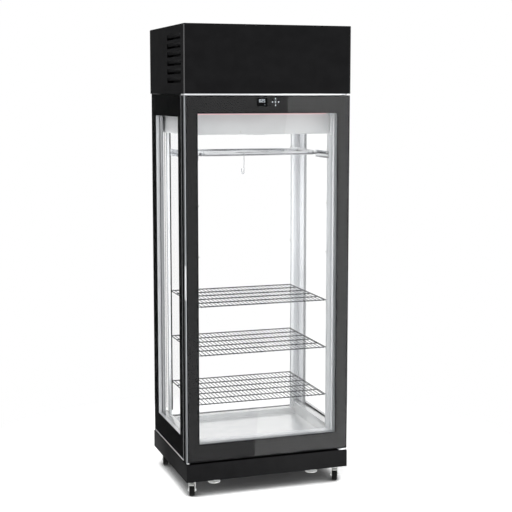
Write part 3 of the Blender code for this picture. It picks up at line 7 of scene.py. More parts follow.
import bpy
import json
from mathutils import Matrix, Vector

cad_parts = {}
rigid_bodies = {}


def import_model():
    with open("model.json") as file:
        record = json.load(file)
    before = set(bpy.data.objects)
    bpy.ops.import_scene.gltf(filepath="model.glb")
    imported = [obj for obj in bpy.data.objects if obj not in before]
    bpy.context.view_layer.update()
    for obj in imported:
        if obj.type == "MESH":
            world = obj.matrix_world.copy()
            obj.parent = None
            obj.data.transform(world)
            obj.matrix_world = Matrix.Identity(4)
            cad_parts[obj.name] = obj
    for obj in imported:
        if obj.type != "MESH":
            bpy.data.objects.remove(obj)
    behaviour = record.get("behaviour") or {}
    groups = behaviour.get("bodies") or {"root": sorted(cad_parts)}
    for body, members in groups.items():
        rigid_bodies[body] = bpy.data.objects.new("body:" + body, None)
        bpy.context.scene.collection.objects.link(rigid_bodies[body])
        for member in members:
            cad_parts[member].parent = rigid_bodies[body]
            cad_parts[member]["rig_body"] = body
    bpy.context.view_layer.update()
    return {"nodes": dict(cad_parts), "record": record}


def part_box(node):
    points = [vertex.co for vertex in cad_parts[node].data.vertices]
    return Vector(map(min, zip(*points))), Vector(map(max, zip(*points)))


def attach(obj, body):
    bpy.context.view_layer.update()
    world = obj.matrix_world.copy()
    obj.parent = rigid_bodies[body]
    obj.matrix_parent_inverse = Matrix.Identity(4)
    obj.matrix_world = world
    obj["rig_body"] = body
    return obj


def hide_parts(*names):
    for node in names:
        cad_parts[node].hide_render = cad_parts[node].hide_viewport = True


bl_info = {
    "name": "Dry Aging Cabinet",
    "version": (1, 0, 0),
    "blender": (4, 5, 0),
    "location": "3D View > Sidebar > Cabinet",
    "description": "Finishes and fine pieces of a glazed dry aging cabinet",
    "category": "Add Mesh",
}

import json
import math
from contextlib import contextmanager

import bmesh
import bpy
from bpy.props import FloatProperty, FloatVectorProperty, IntProperty, PointerProperty, StringProperty
from mathutils import Matrix, Vector

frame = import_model()
RECORD_SLOTS = [entry["slot"] for entry in frame["record"]["materials"]]

MM = 0.001
WELD = 0.01 * MM
FLAT_ANGLE = math.radians(1)
SHARP_ANGLE = math.radians(35)
QUARTER_TURN = math.pi / 2
MIRROR_X = Matrix.Diagonal((-1, 1, 1, 1))
CORNERS = ("front_left", "front_right", "rear_left", "rear_right")


def linear(hex_colour):
    """An sRGB hex value as linear red, green and blue."""
    channels = [(hex_colour >> shift & 255) / 255 for shift in (16, 8, 0)]
    return [c / 12.92 if c <= 0.04045 else ((c + 0.055) / 1.055) ** 2.4 for c in channels]


# Settings


def length_setting(name, description, default):
    return FloatProperty(name=name, description=description, default=default, unit="LENGTH")


def colour_setting(name, description, hex_colour):
    return FloatVectorProperty(
        name=name, description=description, default=linear(hex_colour), subtype="COLOR")


def level_setting(name, description, default):
    return FloatProperty(name=name, description=description, default=default)


class CabinetSizes(bpy.types.PropertyGroup):
    """Sizes of the fine pieces that a user may change"""

    louvre_recess: length_setting("Louvre recess", "How deep each louvre is pressed in", 8 * MM)
    louvre_press: length_setting(
        "Louvre press height", "Height of the pressed slope above each air slot", 14 * MM)
    wire_pitch: length_setting("Wire pitch", "Spacing of the shelves' thin wires", 18.3 * MM)
    wire_radius: length_setting("Wire radius", "Radius of the shelves' thin wires", 1.6 * MM)
    rod_radius: length_setting("Rod radius", "Radius of the shelves' rim and cross rods", 2.5 * MM)
    cross_rods: IntProperty(
        name="Cross rods", description="Rods across each shelf, its front and rear rim included",
        default=6, min=2)
    slot_pitch: length_setting(
        "Slot pitch", "Spacing of the punched slots in the shelf standards", 22 * MM)
    screw_radius: length_setting("Screw radius", "Radius of the cover screws' heads", 3.6 * MM)
    display_digits: StringProperty(
        name="Display digits", description="Figures and points that the display shows",
        default="02.5")


class CabinetColours(bpy.types.PropertyGroup):
    """Colours of the finishes that a user may change"""

    coat: colour_setting("Powder coat", "Black coat of the housing and the base", 0x161617)
    border: colour_setting("Glass border", "Black enamel printed on the glass", 0x101011)
    chamber_grey: colour_setting(
        "Chamber grey", "Painted sheet of the evaporator cover", 0xE0E1E2)
    strip_light: colour_setting(
        "Strip light", "Rose light of the strip over the door opening", 0xD9B4B8)
    digits: colour_setting(
        "Digits", "Light of the display's digits and the touch pad's marks", 0xDDE6EE)


class CabinetStage(bpy.types.PropertyGroup):
    """Camera and light that a user may change"""

    lens: FloatProperty(
        name="Focal length", description="Focal length of the camera in millimetres",
        default=83.43, unit="CAMERA")
    room_light: level_setting("Room light", "Strength of the even light from all around", 0.8)
    key_power: level_setting("Key lamp", "Power of the soft lamp at the upper left", 70.0)
    fill_power: level_setting("Fill lamp", "Power of the low lamp at the left", 4.0)
    front_power: level_setting("Front lamp", "Power of the low lamp in front", 30.0)
    chamber_power: level_setting(
        "Chamber lamps", "Power of the lamp on the chamber's left wall; its right wall has a share",
        5.2)
    panel_power: level_setting(
        "Panel lamp", "Power of the tall panel that the door mirrors", 235.0)


def sizes():
    return bpy.context.scene.cabinet_sizes


def colours():
    return bpy.context.scene.cabinet_colours


# Nodes


# Sockets of a mix node's two colours and its mixed one, numbered because their names repeat
MIX_FIRST, MIX_SECOND, MIX_RESULT = 6, 7, 2
# Detail of a noise that stands for a plain grain, and of one that stands for clouds or dust
PLAIN, CLOUDY = 2.0, 3.0
# At scale 1 a wave texture repeats its bands at this distance in metres
WAVE_PERIOD = 2 * math.pi / 20


def add_node(tree, kind, values=None, links=None, **settings):
    """Add a node with its settings, its sockets' values and what feeds its sockets."""
    made = tree.nodes.new(kind)
    for name, value in settings.items():
        setattr(made, name, value)
    for socket, value in (values or {}).items():
        made.inputs[socket].default_value = value
    for socket, source in (links or {}).items():
        tree.links.new(source, made.inputs[socket])
    return made


def map_range(tree, value, start, end, low=0.0, high=1.0, **settings):
    """Lay what a value runs through, from start to end, out from low to high."""
    made = add_node(
        tree, "ShaderNodeMapRange",
        {"From Min": start, "From Max": end, "To Min": low, "To Max": high}, {"Value": value},
        **settings)
    return made.outputs["Result"]


def combine(tree, operation, first, second):
    """Combine two values by a math operation."""
    made = add_node(tree, "ShaderNodeMath", None, {0: first, 1: second}, operation=operation)
    return made.outputs["Value"]


def mix_shaders(tree, factor, first, second):
    """Mix two shaders: at a factor of 1 only the second one shows."""
    made = add_node(tree, "ShaderNodeMixShader", None, {0: factor, 1: first, 2: second})
    return made.outputs["Shader"]


def show_surface(tree, shader):
    tree.links.new(shader, tree.nodes["Material Output"].inputs["Surface"])


def node_material(name):
    material = bpy.data.materials.new(name)
    material.use_nodes = True
    return material, material.node_tree


class Finish:
    """A Principled material whose patterns read Object coordinates.

    A pattern is the output of a texture, or else the size of the patches of a noise. A colour is
    a hex value, or else linear as a setting holds it.
    """

    def __init__(self, name, colour, roughness, metallic=0.0, shine=0.5, stretch=(1, 1, 1), **values):
        self.material, self.tree = node_material(name)
        self.shader = self.tree.nodes["Principled BSDF"]
        self.colour = (*(linear(colour) if isinstance(colour, int) else colour), 1.0)
        values.update(Base_Color=self.colour, Roughness=roughness, Metallic=metallic,
                      Specular_IOR_Level=shine)
        for socket, value in values.items():
            self.shader.inputs[socket.replace("_", " ")].default_value = value
        self.material.diffuse_color = self.colour
        place = add_node(self.tree, "ShaderNodeTexCoord").outputs["Object"]
        mapping = add_node(self.tree, "ShaderNodeMapping", {"Scale": stretch}, {"Vector": place})
        self.place = mapping.outputs["Vector"]

    def noise(self, size, detail=CLOUDY):
        """Noise whose patches are about this large."""
        made = add_node(
            self.tree, "ShaderNodeTexNoise", {"Scale": 1 / size, "Detail": detail},
            {"Vector": self.place})
        return made.outputs["Fac"]

    def bands(self, pitch, direction):
        """Soft parallel bands at this pitch; along a diagonal they lie twice as far apart."""
        made = add_node(
            self.tree, "ShaderNodeTexWave", {"Scale": WAVE_PERIOD / pitch},
            {"Vector": self.place}, bands_direction=direction)
        return made.outputs["Fac"]

    def value_of(self, pattern, detail=CLOUDY):
        return self.noise(pattern, detail) if isinstance(pattern, float) else pattern

    def tone(self, pattern, other_hex, low=0.35, high=0.65):
        """Let the colour drift towards another one, between two values of a pattern."""
        mixed = add_node(
            self.tree, "ShaderNodeMix",
            {MIX_FIRST: self.colour, MIX_SECOND: (*linear(other_hex), 1.0)},
            {0: map_range(self.tree, self.value_of(pattern), low, high)}, data_type="RGBA")
        self.tree.links.new(mixed.outputs[MIX_RESULT], self.shader.inputs["Base Color"])
        return self

    def gloss(self, pattern, smoothest, roughest):
        """Let the roughness drift with a pattern."""
        drift = map_range(self.tree, self.value_of(pattern), 0.0, 1.0, smoothest, roughest)
        self.tree.links.new(drift, self.shader.inputs["Roughness"])
        return self

    def relief(self, pattern, depth, detail=PLAIN):
        """Raise the surface with a pattern, this deep."""
        bump = add_node(
            self.tree, "ShaderNodeBump", {"Distance": depth},
            {"Height": self.value_of(pattern, detail)})
        self.tree.links.new(bump.outputs["Normal"], self.shader.inputs["Normal"])
        return self


# Finishes


FINISH_MAKERS = {}
FINISHES = {}
# The orange peel of a powder coat is 0.7 mm wide and is drawn wider so that it shows
PEEL = 1.6 * MM


def finish_maker(maker):
    """Keep a maker under its own name, by which the pieces ask for their finish."""
    FINISH_MAKERS[maker.__name__] = maker
    return maker


def finish_of(name):
    """The material of a finish, made once."""
    if name not in FINISHES:
        FINISHES[name] = FINISH_MAKERS[name]().material
    return FINISHES[name]


def sprayed_coat(name, roughness, shine, peel_depth, smoothest, roughest):
    """Black polyester powder coat, sprayed and baked, with its orange peel."""
    coat = Finish(name, colours().coat, roughness, shine=shine)
    coat.tone(60 * MM, 0x1A1A1B).relief(PEEL, peel_depth)
    return coat.gloss(90 * MM, smoothest, roughest)


@finish_maker
def black_powder_coat():
    """Powder coat of the housing: deep black, with a fine peel that blurs the light."""
    return sprayed_coat("black_powder_coat", 0.5, 0.02, 0.03 * MM, 0.42, 0.56)


@finish_maker
def base_coat():
    """The same coat on the base, wiped smoother by cleaning: it takes a weak sheen."""
    return sprayed_coat("black_coat_on_base", 0.45, 0.07, 0.02 * MM, 0.4, 0.5)


@finish_maker
def fold_coat():
    """Powder coat on a fold: smoother, glossier and lighter grey, a painted highlight on the fold."""
    # The grey, lighter than the black coat, is a painted highlight
    coat = Finish("coat_with_painted_highlight", 0x3C3C3D, 0.3, shine=0.6)
    return coat.relief(PEEL, 0.02 * MM).gloss(40 * MM, 0.26, 0.36)


@finish_maker
def black_border():
    """Black ceramic enamel, fired on the glass: even and deep, with hardly a mirror of its own."""
    enamel = Finish("black_enamel_border", colours().border, 0.3, shine=0.01)
    return enamel.tone(45 * MM, 0x131314).gloss(25 * MM, 0.26, 0.36)


@finish_maker
def dull_print():
    """Black ink printed on the outside of the glass: dull, so that no mirror image lies on it."""
    ink = Finish("black_printed_ink", 0x202021, 0.6, shine=0.02)
    return ink.tone(20 * MM, 0x262627).gloss(10 * MM, 0.5, 0.7)


@finish_maker
def display_film():
    """Deep black filter film over the display: it lets nothing but the digits through."""
    film = Finish("black_filter_film", 0x060607, 0.25, shine=0.03)
    return film.tone(15 * MM, 0x09090A).gloss(8 * MM, 0.2, 0.3)


@finish_maker
def black_door_profile():
    """Aluminium under a black lacquer: the glass bonded over it gives the shine, not the lacquer."""
    lacquer = Finish(
        "black_lacquered_profile", 0x1A1A1B, 0.36, shine=0.0, stretch=(1, 1, 0.02))
    return lacquer.gloss(lacquer.noise(0.8 * MM, PLAIN), 0.3, 0.42)


@finish_maker
def grey_aluminium():
    """Extruded aluminium, etched and anodised in its own grey: satin, with drawing lines."""
    metal = Finish("anodised_aluminium", 0xA3A6A9, 0.34, metallic=1.0, stretch=(1, 1, 0.02))
    lines = metal.noise(0.9 * MM, PLAIN)
    return metal.tone(lines, 0x8F9295).relief(lines, 0.01 * MM).gloss(lines, 0.28, 0.4)


@finish_maker
def bright_aluminium():
    """Bright-dipped aluminium under a clear anodised skin: half mirror and half milky sheen."""
    metal = Finish("bright_anodised_aluminium", 0xF3F4F6, 0.2, 0.25, 0.3, stretch=(1, 1, 0.03))
    lines = metal.noise(1.6 * MM, PLAIN)
    return metal.tone(lines, 0xE3E5E8).relief(lines, 0.01 * MM).gloss(lines, 0.14, 0.26)


@finish_maker
def satin_tray():
    """Stainless sheet with a fine bead-blasted face: pale and milky, easy to wipe."""
    metal = Finish("blasted_stainless", 0xE6E7E7, 0.16, metallic=0.6, shine=0.3)
    # The blasting is about 0.2 mm and is drawn 1 mm wide so that it shows
    metal.tone(40 * MM, 0xDDDEDF).relief(1.0 * MM, 0.003 * MM)
    return metal.gloss(25 * MM, 0.12, 0.22)


@finish_maker
def rolled_steel():
    """Roll-formed steel strip, zinc plated and passivated: a pale grey without much shine."""
    metal = Finish("zinc_plated_strip", 0xF0F1F2, 0.34, 0.3, 0.3, stretch=(1, 1, 0.02))
    lines = metal.noise(0.9 * MM, PLAIN)
    return metal.tone(lines, 0xE2E4E6).gloss(lines, 0.26, 0.38)


@finish_maker
def chromed_wire():
    """Drawn steel wire, welded and chromed: a bright mirror with faint clouding."""
    metal = Finish("chromed_wire", 0xDCDEE0, 0.13, metallic=0.75)
    return metal.tone(18 * MM, 0xCDD0D3).gloss(9 * MM, 0.09, 0.2)


@finish_maker
def nickel_wire():
    """Thin drawn wire, welded: a dark grey metal, painted shade, so that each wire reads as a grey
    line.
    """
    # The dark grey is painted shade on the chromed wire
    metal = Finish("wire_in_painted_shade", 0x5A5D61, 0.2, metallic=1.0)
    return metal.tone(18 * MM, 0x4E5155).gloss(9 * MM, 0.14, 0.26)


@finish_maker
def drawn_tube():
    """Chromed tube: bright, with dark streaks along it that are painted reflections."""
    metal = Finish("chromed_tube", 0xDADCDE, 0.16, metallic=0.85, stretch=(0.03, 0.03, 1))
    # The streaks stand for the room's dark lines in the chrome
    streaks = metal.noise(11 * MM)
    return metal.tone(streaks, 0x74767A, 0.44, 0.62).gloss(streaks, 0.1, 0.22)


@finish_maker
def zinc_plate():
    """Pressed steel, zinc plated and passivated: pale, with a cloudy cool and warm cast."""
    metal = Finish("zinc_plated_steel", 0xE4E6E7, 0.24, metallic=0.7)
    return metal.tone(9 * MM, 0xD9D9D3).relief(1.5 * MM, 0.01 * MM).gloss(6 * MM, 0.22, 0.38)


@finish_maker
def black_rubber():
    """Moulded black rubber: dull, with a fine grain and dust in it."""
    rubber = Finish("black_rubber", 0x0E0E0E, 0.7, shine=0.12)
    return rubber.tone(7 * MM, 0x171716).relief(0.9 * MM, 0.04 * MM, CLOUDY)


@finish_maker
def gap_rubber():
    """Near-black painted shade for a gap: matt, with a fine bump."""
    # The near black stands in for the deep shade in the gap: painted shade
    rubber = Finish("black_gap_shade_surface", 0x040404, 0.8, shine=0.02)
    return rubber.relief(1.5 * MM, 0.05 * MM, CLOUDY)


def soft_profile(name, hex_colour, line_depth):
    """Extruded soft plastic with lines along it."""
    soft = Finish(name, hex_colour, 0.6, stretch=(1, 1, 0.05))
    return soft.relief(1.2 * MM, line_depth).gloss(20 * MM, 0.5, 0.68)


@finish_maker
def grey_gasket():
    """Vinyl over a magnet strip: matt and dark grey, with lines that catch the light."""
    return soft_profile("grey_gasket_vinyl", 0x4C4E50, 0.05 * MM)


@finish_maker
def sealing_profile():
    """Silicone strip: matt and light grey, with fainter lines."""
    return soft_profile("grey_silicone_profile", 0x9B9D9F, 0.03 * MM)


@finish_maker
def grey_steel():
    """Light grey baked paint on thin sheet: smooth, with a soft half gloss."""
    paint = Finish("light_grey_paint", colours().chamber_grey, 0.34, shine=0.2)
    paint.tone(110 * MM, 0xDADBDC).relief(2.2 * MM, 0.015 * MM)
    return paint.gloss(60 * MM, 0.28, 0.4)


@finish_maker
def black_plastic():
    """Injection-moulded black ABS: an eroded grain that scatters the light."""
    plastic = Finish("black_moulded_abs", 0x161617, 0.45, shine=0.35)
    return plastic.relief(0.8 * MM, 0.05 * MM, CLOUDY).gloss(12 * MM, 0.38, 0.52)


def fin_stack(name, hex_colour, gap_shade_colour, roughness, direction, **values):
    """Thin fins 2 mm apart: bands of bright fin edge and painted shade in the gaps between the fins.
    """
    fins = Finish(name, hex_colour, roughness, **values)
    bands = fins.bands(2 * MM, direction)
    return fins.tone(bands, gap_shade_colour, 0.5, 0.9).relief(bands, 0.6 * MM)


@finish_maker
def finned_aluminium():
    """Bare aluminium fins: slanting bands that show on every side, drawn 4 mm apart there."""
    return fin_stack("aluminium_fin_stack", 0xB4B8BB, 0x3A3D40, 0.4, "DIAGONAL", metallic=1.0)


@finish_maker
def near_black_fins():
    """Condenser fins in near black: dull upright bands."""
    return fin_stack("near_black_fin_stack", 0x0C0C0D, 0x040404, 0.6, "Y", shine=0.1)


@finish_maker
def insulated_core():
    """White-skinned foam panel, where it shows inside: plain, slightly rippled."""
    panel = Finish("white_skinned_panel", 0xC9CACA, 0.5)
    return panel.tone(80 * MM, 0xBFC0C1).relief(25 * MM, 0.1 * MM, 1.0)


def glass_pane(name, index):
    """Low-iron glass with an index of refraction that its coating brings down."""
    glass = Finish(name, 0xFFFFFF, 0.0, Transmission_Weight=1.0, IOR=index)
    glass.gloss(150 * MM, 0.0, 0.004)
    tree = glass.tree
    path = add_node(tree, "ShaderNodeLightPath").outputs
    # Lamps reach through the panes, so that the chamber is lit as in daylight
    passing = add_node(tree, "ShaderNodeBsdfTransparent", {"Color": (*linear(0xFCFDFD), 1)})
    show_surface(tree, mix_shaders(
        tree, path["Is Shadow Ray"], glass.shader.outputs[0], passing.outputs[0]))
    return glass


@finish_maker
def door_glass():
    """Toughened float glass of the door: a soft mirror image of the room lies over the border."""
    return glass_pane("toughened_float_glass", 1.25)


@finish_maker
def clear_glass():
    """Float glass with a coating against reflections: all but unseen, with a faint sheen."""
    return glass_pane("anti_reflection_glass", 1.025)


def lit_finish(name, colour, strength):
    """A small lit surface under a clear skin."""
    lit = Finish(
        name, [c * 0.5 for c in colour], 0.4, Emission_Color=(*colour, 1.0),
        Emission_Strength=strength)
    return lit.gloss(3 * MM, 0.35, 0.45)


@finish_maker
def rose_light():
    """Strip light behind a frosted lens: an even rose glow."""
    return lit_finish("rose_strip_light", colours().strip_light, 0.8)


@finish_maker
def display_light():
    """Light-emitting segments and marks: a cool white that stays on them."""
    return lit_finish("display_light", colours().digits, 0.95)


# Modelling helpers


# How nearly a face's normal has to follow an axis to count as looking along it
ALONG = 0.9
# The side of a sheet to which its thickness is added
AGAINST_NORMALS, ALONG_NORMALS = -1, 1


def deselect():
    bpy.ops.object.select_all(action="DESELECT")


def activate(piece):
    deselect()
    piece.select_set(True)
    bpy.context.view_layer.objects.active = piece


def new_object(name, data):
    made = bpy.data.objects.new(name, data)
    bpy.context.scene.collection.objects.link(made)
    return made


def adopt(name):
    """Name what an operator has just added and lay its place and size into its mesh."""
    bpy.ops.object.transform_apply(location=True, rotation=True, scale=True)
    piece = bpy.context.object
    piece.name = piece.data.name = name
    return piece


@contextmanager
def editing(piece, mode="FACE"):
    """Edit mode on one piece, with nothing selected at first."""
    activate(piece)
    bpy.ops.object.mode_set(mode="EDIT")
    bpy.ops.mesh.select_mode(type=mode)
    bpy.ops.mesh.select_all(action="DESELECT")
    yield
    bpy.ops.object.mode_set(mode="OBJECT")


def looking(*ways):
    """A test for faces that look one of these ways, each written like "+x"."""
    axes = [(-1 if way[0] == "-" else 1, "xyz".index(way[1])) for way in ways]
    return lambda middle, normal: any(sign * normal[axis] > ALONG for sign, axis in axes)


def pick_faces(piece, test):
    """Select the faces whose middle and normal pass a test."""
    mesh = bmesh.from_edit_mesh(piece.data)
    for face in mesh.faces:
        face.select_set(bool(test(face.calc_center_median(), face.normal)))
    bmesh.update_edit_mesh(piece.data)


def pick_edges(piece, test):
    """Select the edges whose two ends pass a test."""
    mesh = bmesh.from_edit_mesh(piece.data)
    for edge in mesh.edges:
        edge.select_set(bool(test(edge.verts[0].co, edge.verts[1].co)))
    bmesh.update_edit_mesh(piece.data)


def drop_faces(piece, test):
    """Delete the faces that pass a test."""
    with editing(piece):
        pick_faces(piece, test)
        bpy.ops.mesh.delete(type="FACE")


def inset_faces(piece, test, steps, apart=False):
    """Inset the faces that pass a test, step by step, each step a width and a depth."""
    with editing(piece):
        pick_faces(piece, test)
        for width, depth in steps:
            bpy.ops.mesh.inset(thickness=width, depth=depth, use_individual=apart)


def pull(x=0.0, y=0.0, z=0.0):
    """Extrude what is selected by an offset."""
    bpy.ops.mesh.extrude_region_move(TRANSFORM_OT_translate={"value": (x, y, z)})


def block(name, low, high):
    """A cube primitive stretched between two corners."""
    deselect()
    middle = [(a + b) / 2 for a, b in zip(low, high)]
    size = [b - a for a, b in zip(low, high)]
    bpy.ops.mesh.primitive_cube_add(size=1, location=middle, scale=size)
    return adopt(name)


def rod(name, start, end, radius, sides=10):
    """A cylinder primitive between two points."""
    deselect()
    start, end = Vector(start), Vector(end)
    turn = (end - start).to_track_quat("Z", "Y").to_euler()
    bpy.ops.mesh.primitive_cylinder_add(
        vertices=sides, radius=radius, depth=(end - start).length, location=(start + end) / 2,
        rotation=turn)
    return adopt(name)


def ring(name, centre, radius, thickness, sides=48, section=8):
    """A torus primitive that lies flat."""
    deselect()
    bpy.ops.mesh.primitive_torus_add(
        location=centre, major_radius=radius, minor_radius=thickness, major_segments=sides,
        minor_segments=section)
    return adopt(name)


def modify(piece, kind, **settings):
    """Put a modifier on a piece and apply it."""
    change = piece.modifiers.new(kind.lower(), kind)
    for name, value in settings.items():
        setattr(change, name, value)
    activate(piece)
    bpy.ops.object.modifier_apply(modifier=change.name)
    return piece


def round_edges(piece, width, segments=2):
    """Round the sharp edges of a piece."""
    return modify(
        piece, "BEVEL", width=width, segments=segments, limit_method="ANGLE",
        angle_limit=SHARP_ANGLE)


def thicken(piece, thickness, side):
    """Give a folded sheet its thickness."""
    return modify(piece, "SOLIDIFY", thickness=thickness, offset=side, use_even_offset=True)


def cut(piece, tool):
    """Cut a tool out of a piece; the tool is used up."""
    modify(piece, "BOOLEAN", operation="DIFFERENCE", object=tool)
    bpy.data.objects.remove(tool, do_unlink=True)
    return piece


def shift_of(x=0.0, y=0.0, z=0.0):
    return Matrix.Translation((x, y, z))


def facing(place, normal):
    """The matrix that stands a piece made along +Z on a place, along a normal."""
    return shift_of(*place) @ Vector(normal).to_track_quat("Z", "Y").to_matrix().to_4x4()


def copy_at(piece, matrix):
    """A copy with its own mesh, moved by a matrix."""
    made = new_object(piece.name, piece.data.copy())
    made.data.transform(matrix)
    if matrix.determinant() < 0:
        made.data.flip_normals()
    return made


def join(name, members):
    """Join pieces into one object."""
    deselect()
    for member in members:
        member.select_set(True)
    joined = members[0]
    bpy.context.view_layer.objects.active = joined
    if len(members) > 1:
        bpy.ops.object.join()
    joined.name = joined.data.name = name
    return joined


def repeat(name, pattern, places):
    """Copies of a pattern piece at the places, joined; the pattern is used up."""
    made = [copy_at(pattern, place if isinstance(place, Matrix) else shift_of(*place))
            for place in places]
    bpy.data.objects.remove(pattern, do_unlink=True)
    return join(name, made)


def settle(piece, body, finish, slot=None, nodes=()):
    """Shade a piece, give it its finish and let it ride on its body."""
    activate(piece)
    bpy.ops.object.shade_smooth_by_angle(angle=SHARP_ANGLE)
    piece.data.materials.clear()
    piece.data.materials.append(finish_of(finish))
    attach(piece, body)
    if slot is None and finish in RECORD_SLOTS:
        slot = finish
    if nodes:
        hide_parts(*nodes)
    return piece


def body_of_node(node):
    return frame["nodes"][node]["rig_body"]


def merged_copy(node, name):
    """A copy of a frame node as one closed mesh without its flat triangles' inner edges."""
    piece = new_object(name, frame["nodes"][node].data.copy())
    activate(piece)
    bpy.ops.mesh.customdata_custom_splitnormals_clear()
    with editing(piece, "VERT"):
        bpy.ops.mesh.select_all(action="SELECT")
        bpy.ops.mesh.remove_doubles(threshold=WELD)
        bpy.ops.mesh.dissolve_limited(angle_limit=FLAT_ANGLE)
    return piece


def refine(node, finish, edge, segments=2, slot=None):
    """Stand a copy with broken edges in the place of a frame node."""
    piece = merged_copy(node, node + "_finished")
    if edge:
        round_edges(piece, edge, segments)
    return settle(piece, body_of_node(node), finish, slot=slot, nodes=[node])


def screw_head():
    """A domed head with a socket in its middle; it faces +Z and stands on the origin."""
    radius = sizes().screw_radius
    rise = radius * 0.5
    head = rod("screw_head", (0, 0, 0), (0, 0, rise), radius, sides=16)
    # Widths are shares of the radius and depths are shares of the rise
    dome, land, socket = (0.3, 0.25), (0.4, -0.05), (0.12, -0.5)
    inset_faces(head, looking("+z"), [
        (radius * width, rise * depth) for width, depth in (dome, land, socket)])
    return round_edges(head, radius * 0.08, 1)


def screws(name, body, finish, places):
    """A group of equal screws, each at a place and along a normal."""
    group = repeat(name, screw_head(), [facing(place, normal) for place, normal in places])
    return settle(group, body, finish)


# Housing


# The upper louvre's air slot starts this far under the housing's top; the others follow it
LOUVRE_TOP, LOUVRE_PITCH, LOUVRE_COUNT = 52 * MM, 36.4 * MM, 6
# The hinge's axis, and the lower edge of the bright strip between housing and door
HINGE_X, STRIP_LOW_Z = 0.3535, 1.7336


def housing_cover():
    """Folded steel cover with six pressed louvres on its left side."""
    low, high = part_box("housing_shell")
    sheet_wall = 2 * MM
    cover = block("housing_cover", low, high)
    drop_faces(cover, looking("-z", "+y"))
    round_edges(cover, 4 * MM, 4)
    thicken(cover, sheet_wall, AGAINST_NORMALS)

    rows = [(0, 0, high.z - LOUVRE_TOP - index * LOUVRE_PITCH) for index in range(LOUVRE_COUNT)]
    front, back = low.y + 48 * MM, low.y + 274 * MM
    press, recess, slot_height = sizes().louvre_press, sizes().louvre_recess, 10 * MM
    window = block(
        "louvre_window", (low.x - sheet_wall, front, -slot_height),
        (low.x + 2 * sheet_wall, back, press))
    cut(cover, repeat("louvre_windows", window, rows))
    pocket = block("louvre_pocket", (low.x, front, 0), (low.x + recess, back, press))
    drop_faces(pocket, looking("-x", "-z"))
    with editing(pocket, "EDGE"):
        pick_edges(pocket, lambda a, b: min(a.x, b.x) > low.x + MM and min(a.z, b.z) > press - MM)
        bpy.ops.transform.translate(value=(-recess, 0, 0))
        bpy.ops.mesh.select_all(action="SELECT")
        bpy.ops.mesh.remove_doubles(threshold=WELD)
    round_edges(pocket, 1.5 * MM)
    thicken(pocket, 1.2 * MM, ALONG_NORMALS)
    pockets = repeat("louvre_pockets", pocket, rows)
    settle(join("housing_cover", [cover, pockets]), "cabinet", "black_powder_coat",
           nodes=["housing_shell"])


def painted_corner_highlights():
    """Rounded folds of the cover's two front corners, in a lighter, glossier coat: a painted
    highlight on each fold.
    """
    low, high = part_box("housing_shell")
    radius, proud = 4.2 * MM, 0.15 * MM
    folds = []
    for side, edge_x in ((-1, low.x), (1, high.x)):
        inner_x = edge_x - side * radius
        fold = block(
            "fold", (min(edge_x, inner_x), low.y, low.z + 0.5 * MM),
            (max(edge_x, inner_x), low.y + radius, high.z - 4 * MM))
        fold.data.transform(shift_of(side * proud, -proud))
        corner = Vector((edge_x + side * proud, low.y - proud))
        with editing(fold, "EDGE"):
            pick_edges(fold, lambda *ends: all(
                (end.xy - corner).length < 0.1 * MM for end in ends))
            bpy.ops.mesh.bevel(offset=radius * 0.98, segments=6)
        folds.append(fold)
    # Each fold carries a painted highlight in a lighter grey than the coat
    settle(join("painted_corner_highlights", folds), "cabinet", "fold_coat", slot="black_powder_coat")


def housing_fasteners():
    """Cover screws round the housing's back."""
    low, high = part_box("housing_back")
    inset = 14 * MM
    heights = (low.z + inset, (low.z + high.z) / 2, high.z - inset)
    screws("housing_screws", "cabinet", "zinc_plate", [
        ((x, high.y, z), (0, 1, 0)) for z in heights for x in (low.x + inset, high.x - inset)])


def hinge_pin():
    """Dark pin of the upper hinge, seen in the bright strip."""
    low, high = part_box("hinge_top")
    y = low.y - 0.5 * MM
    start = (HINGE_X, y, STRIP_LOW_Z + 0.2 * MM)
    pin = rod("hinge_pin", start, (HINGE_X, y, high.z), 2.2 * MM, 20)
    inset_faces(pin, looking("+z", "-z"), [(0.8 * MM, 0.3 * MM)], apart=True)
    settle(round_edges(pin, 0.2 * MM), "cabinet", "black_plastic")


def header_strip():
    """Bright strip that fills the gap between the housing and the door."""
    low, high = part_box("header_trim")
    strip = block("header_strip", (low.x, low.y - 0.8 * MM, STRIP_LOW_Z), high)
    settle(round_edges(strip, 0.8 * MM), "cabinet", "bright_aluminium", nodes=["header_trim"])


def power_socket():
    """Recessed appliance inlet with three pins."""
    low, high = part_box("power_inlet")
    rim, wall, sunk = 3 * MM, 1 * MM, 16 * MM
    socket = block("power_socket", low, high)
    inset_faces(socket, looking("+y"), [(rim, 0), (wall, -sunk)])
    round_edges(socket, 0.8 * MM)
    middle = (low + high) / 2
    floor_y = high.y - sunk
    pin_width, pin_length, pin_height = 2 * MM, 12 * MM, 4 * MM
    pins = []
    for across, up in ((-9 * MM, -2 * MM), (0, 3 * MM), (9 * MM, -2 * MM)):
        x, z = middle.x + across, middle.z + up
        pin = block(
            "inlet_pin", (x - pin_width / 2, floor_y - 1 * MM, z - pin_height / 2),
            (x + pin_width / 2, floor_y + pin_length, z + pin_height / 2))
        pins.append(round_edges(pin, 0.5 * MM))
    settle(socket, "cabinet", "black_plastic", nodes=["power_inlet"])
    settle(join("inlet_pins", pins), "cabinet", "zinc_plate")


class CABINET_OT_housing(bpy.types.Operator):
    """Make the refrigeration housing, its louvres, screws and power inlet"""

    bl_idname = "cabinet.housing"
    bl_label = "Housing"

    def execute(self, context):
        housing_cover()
        painted_corner_highlights()
        housing_fasteners()
        power_socket()
        refine("housing_back", "black_powder_coat", 0.4 * MM)
        header_strip()
        hinge_pin()
        return {"FINISHED"}


# Door


# Heights of the grip's lower and upper end
GRIP_LOW_Z, GRIP_HIGH_Z = 0.8695, 1.0165
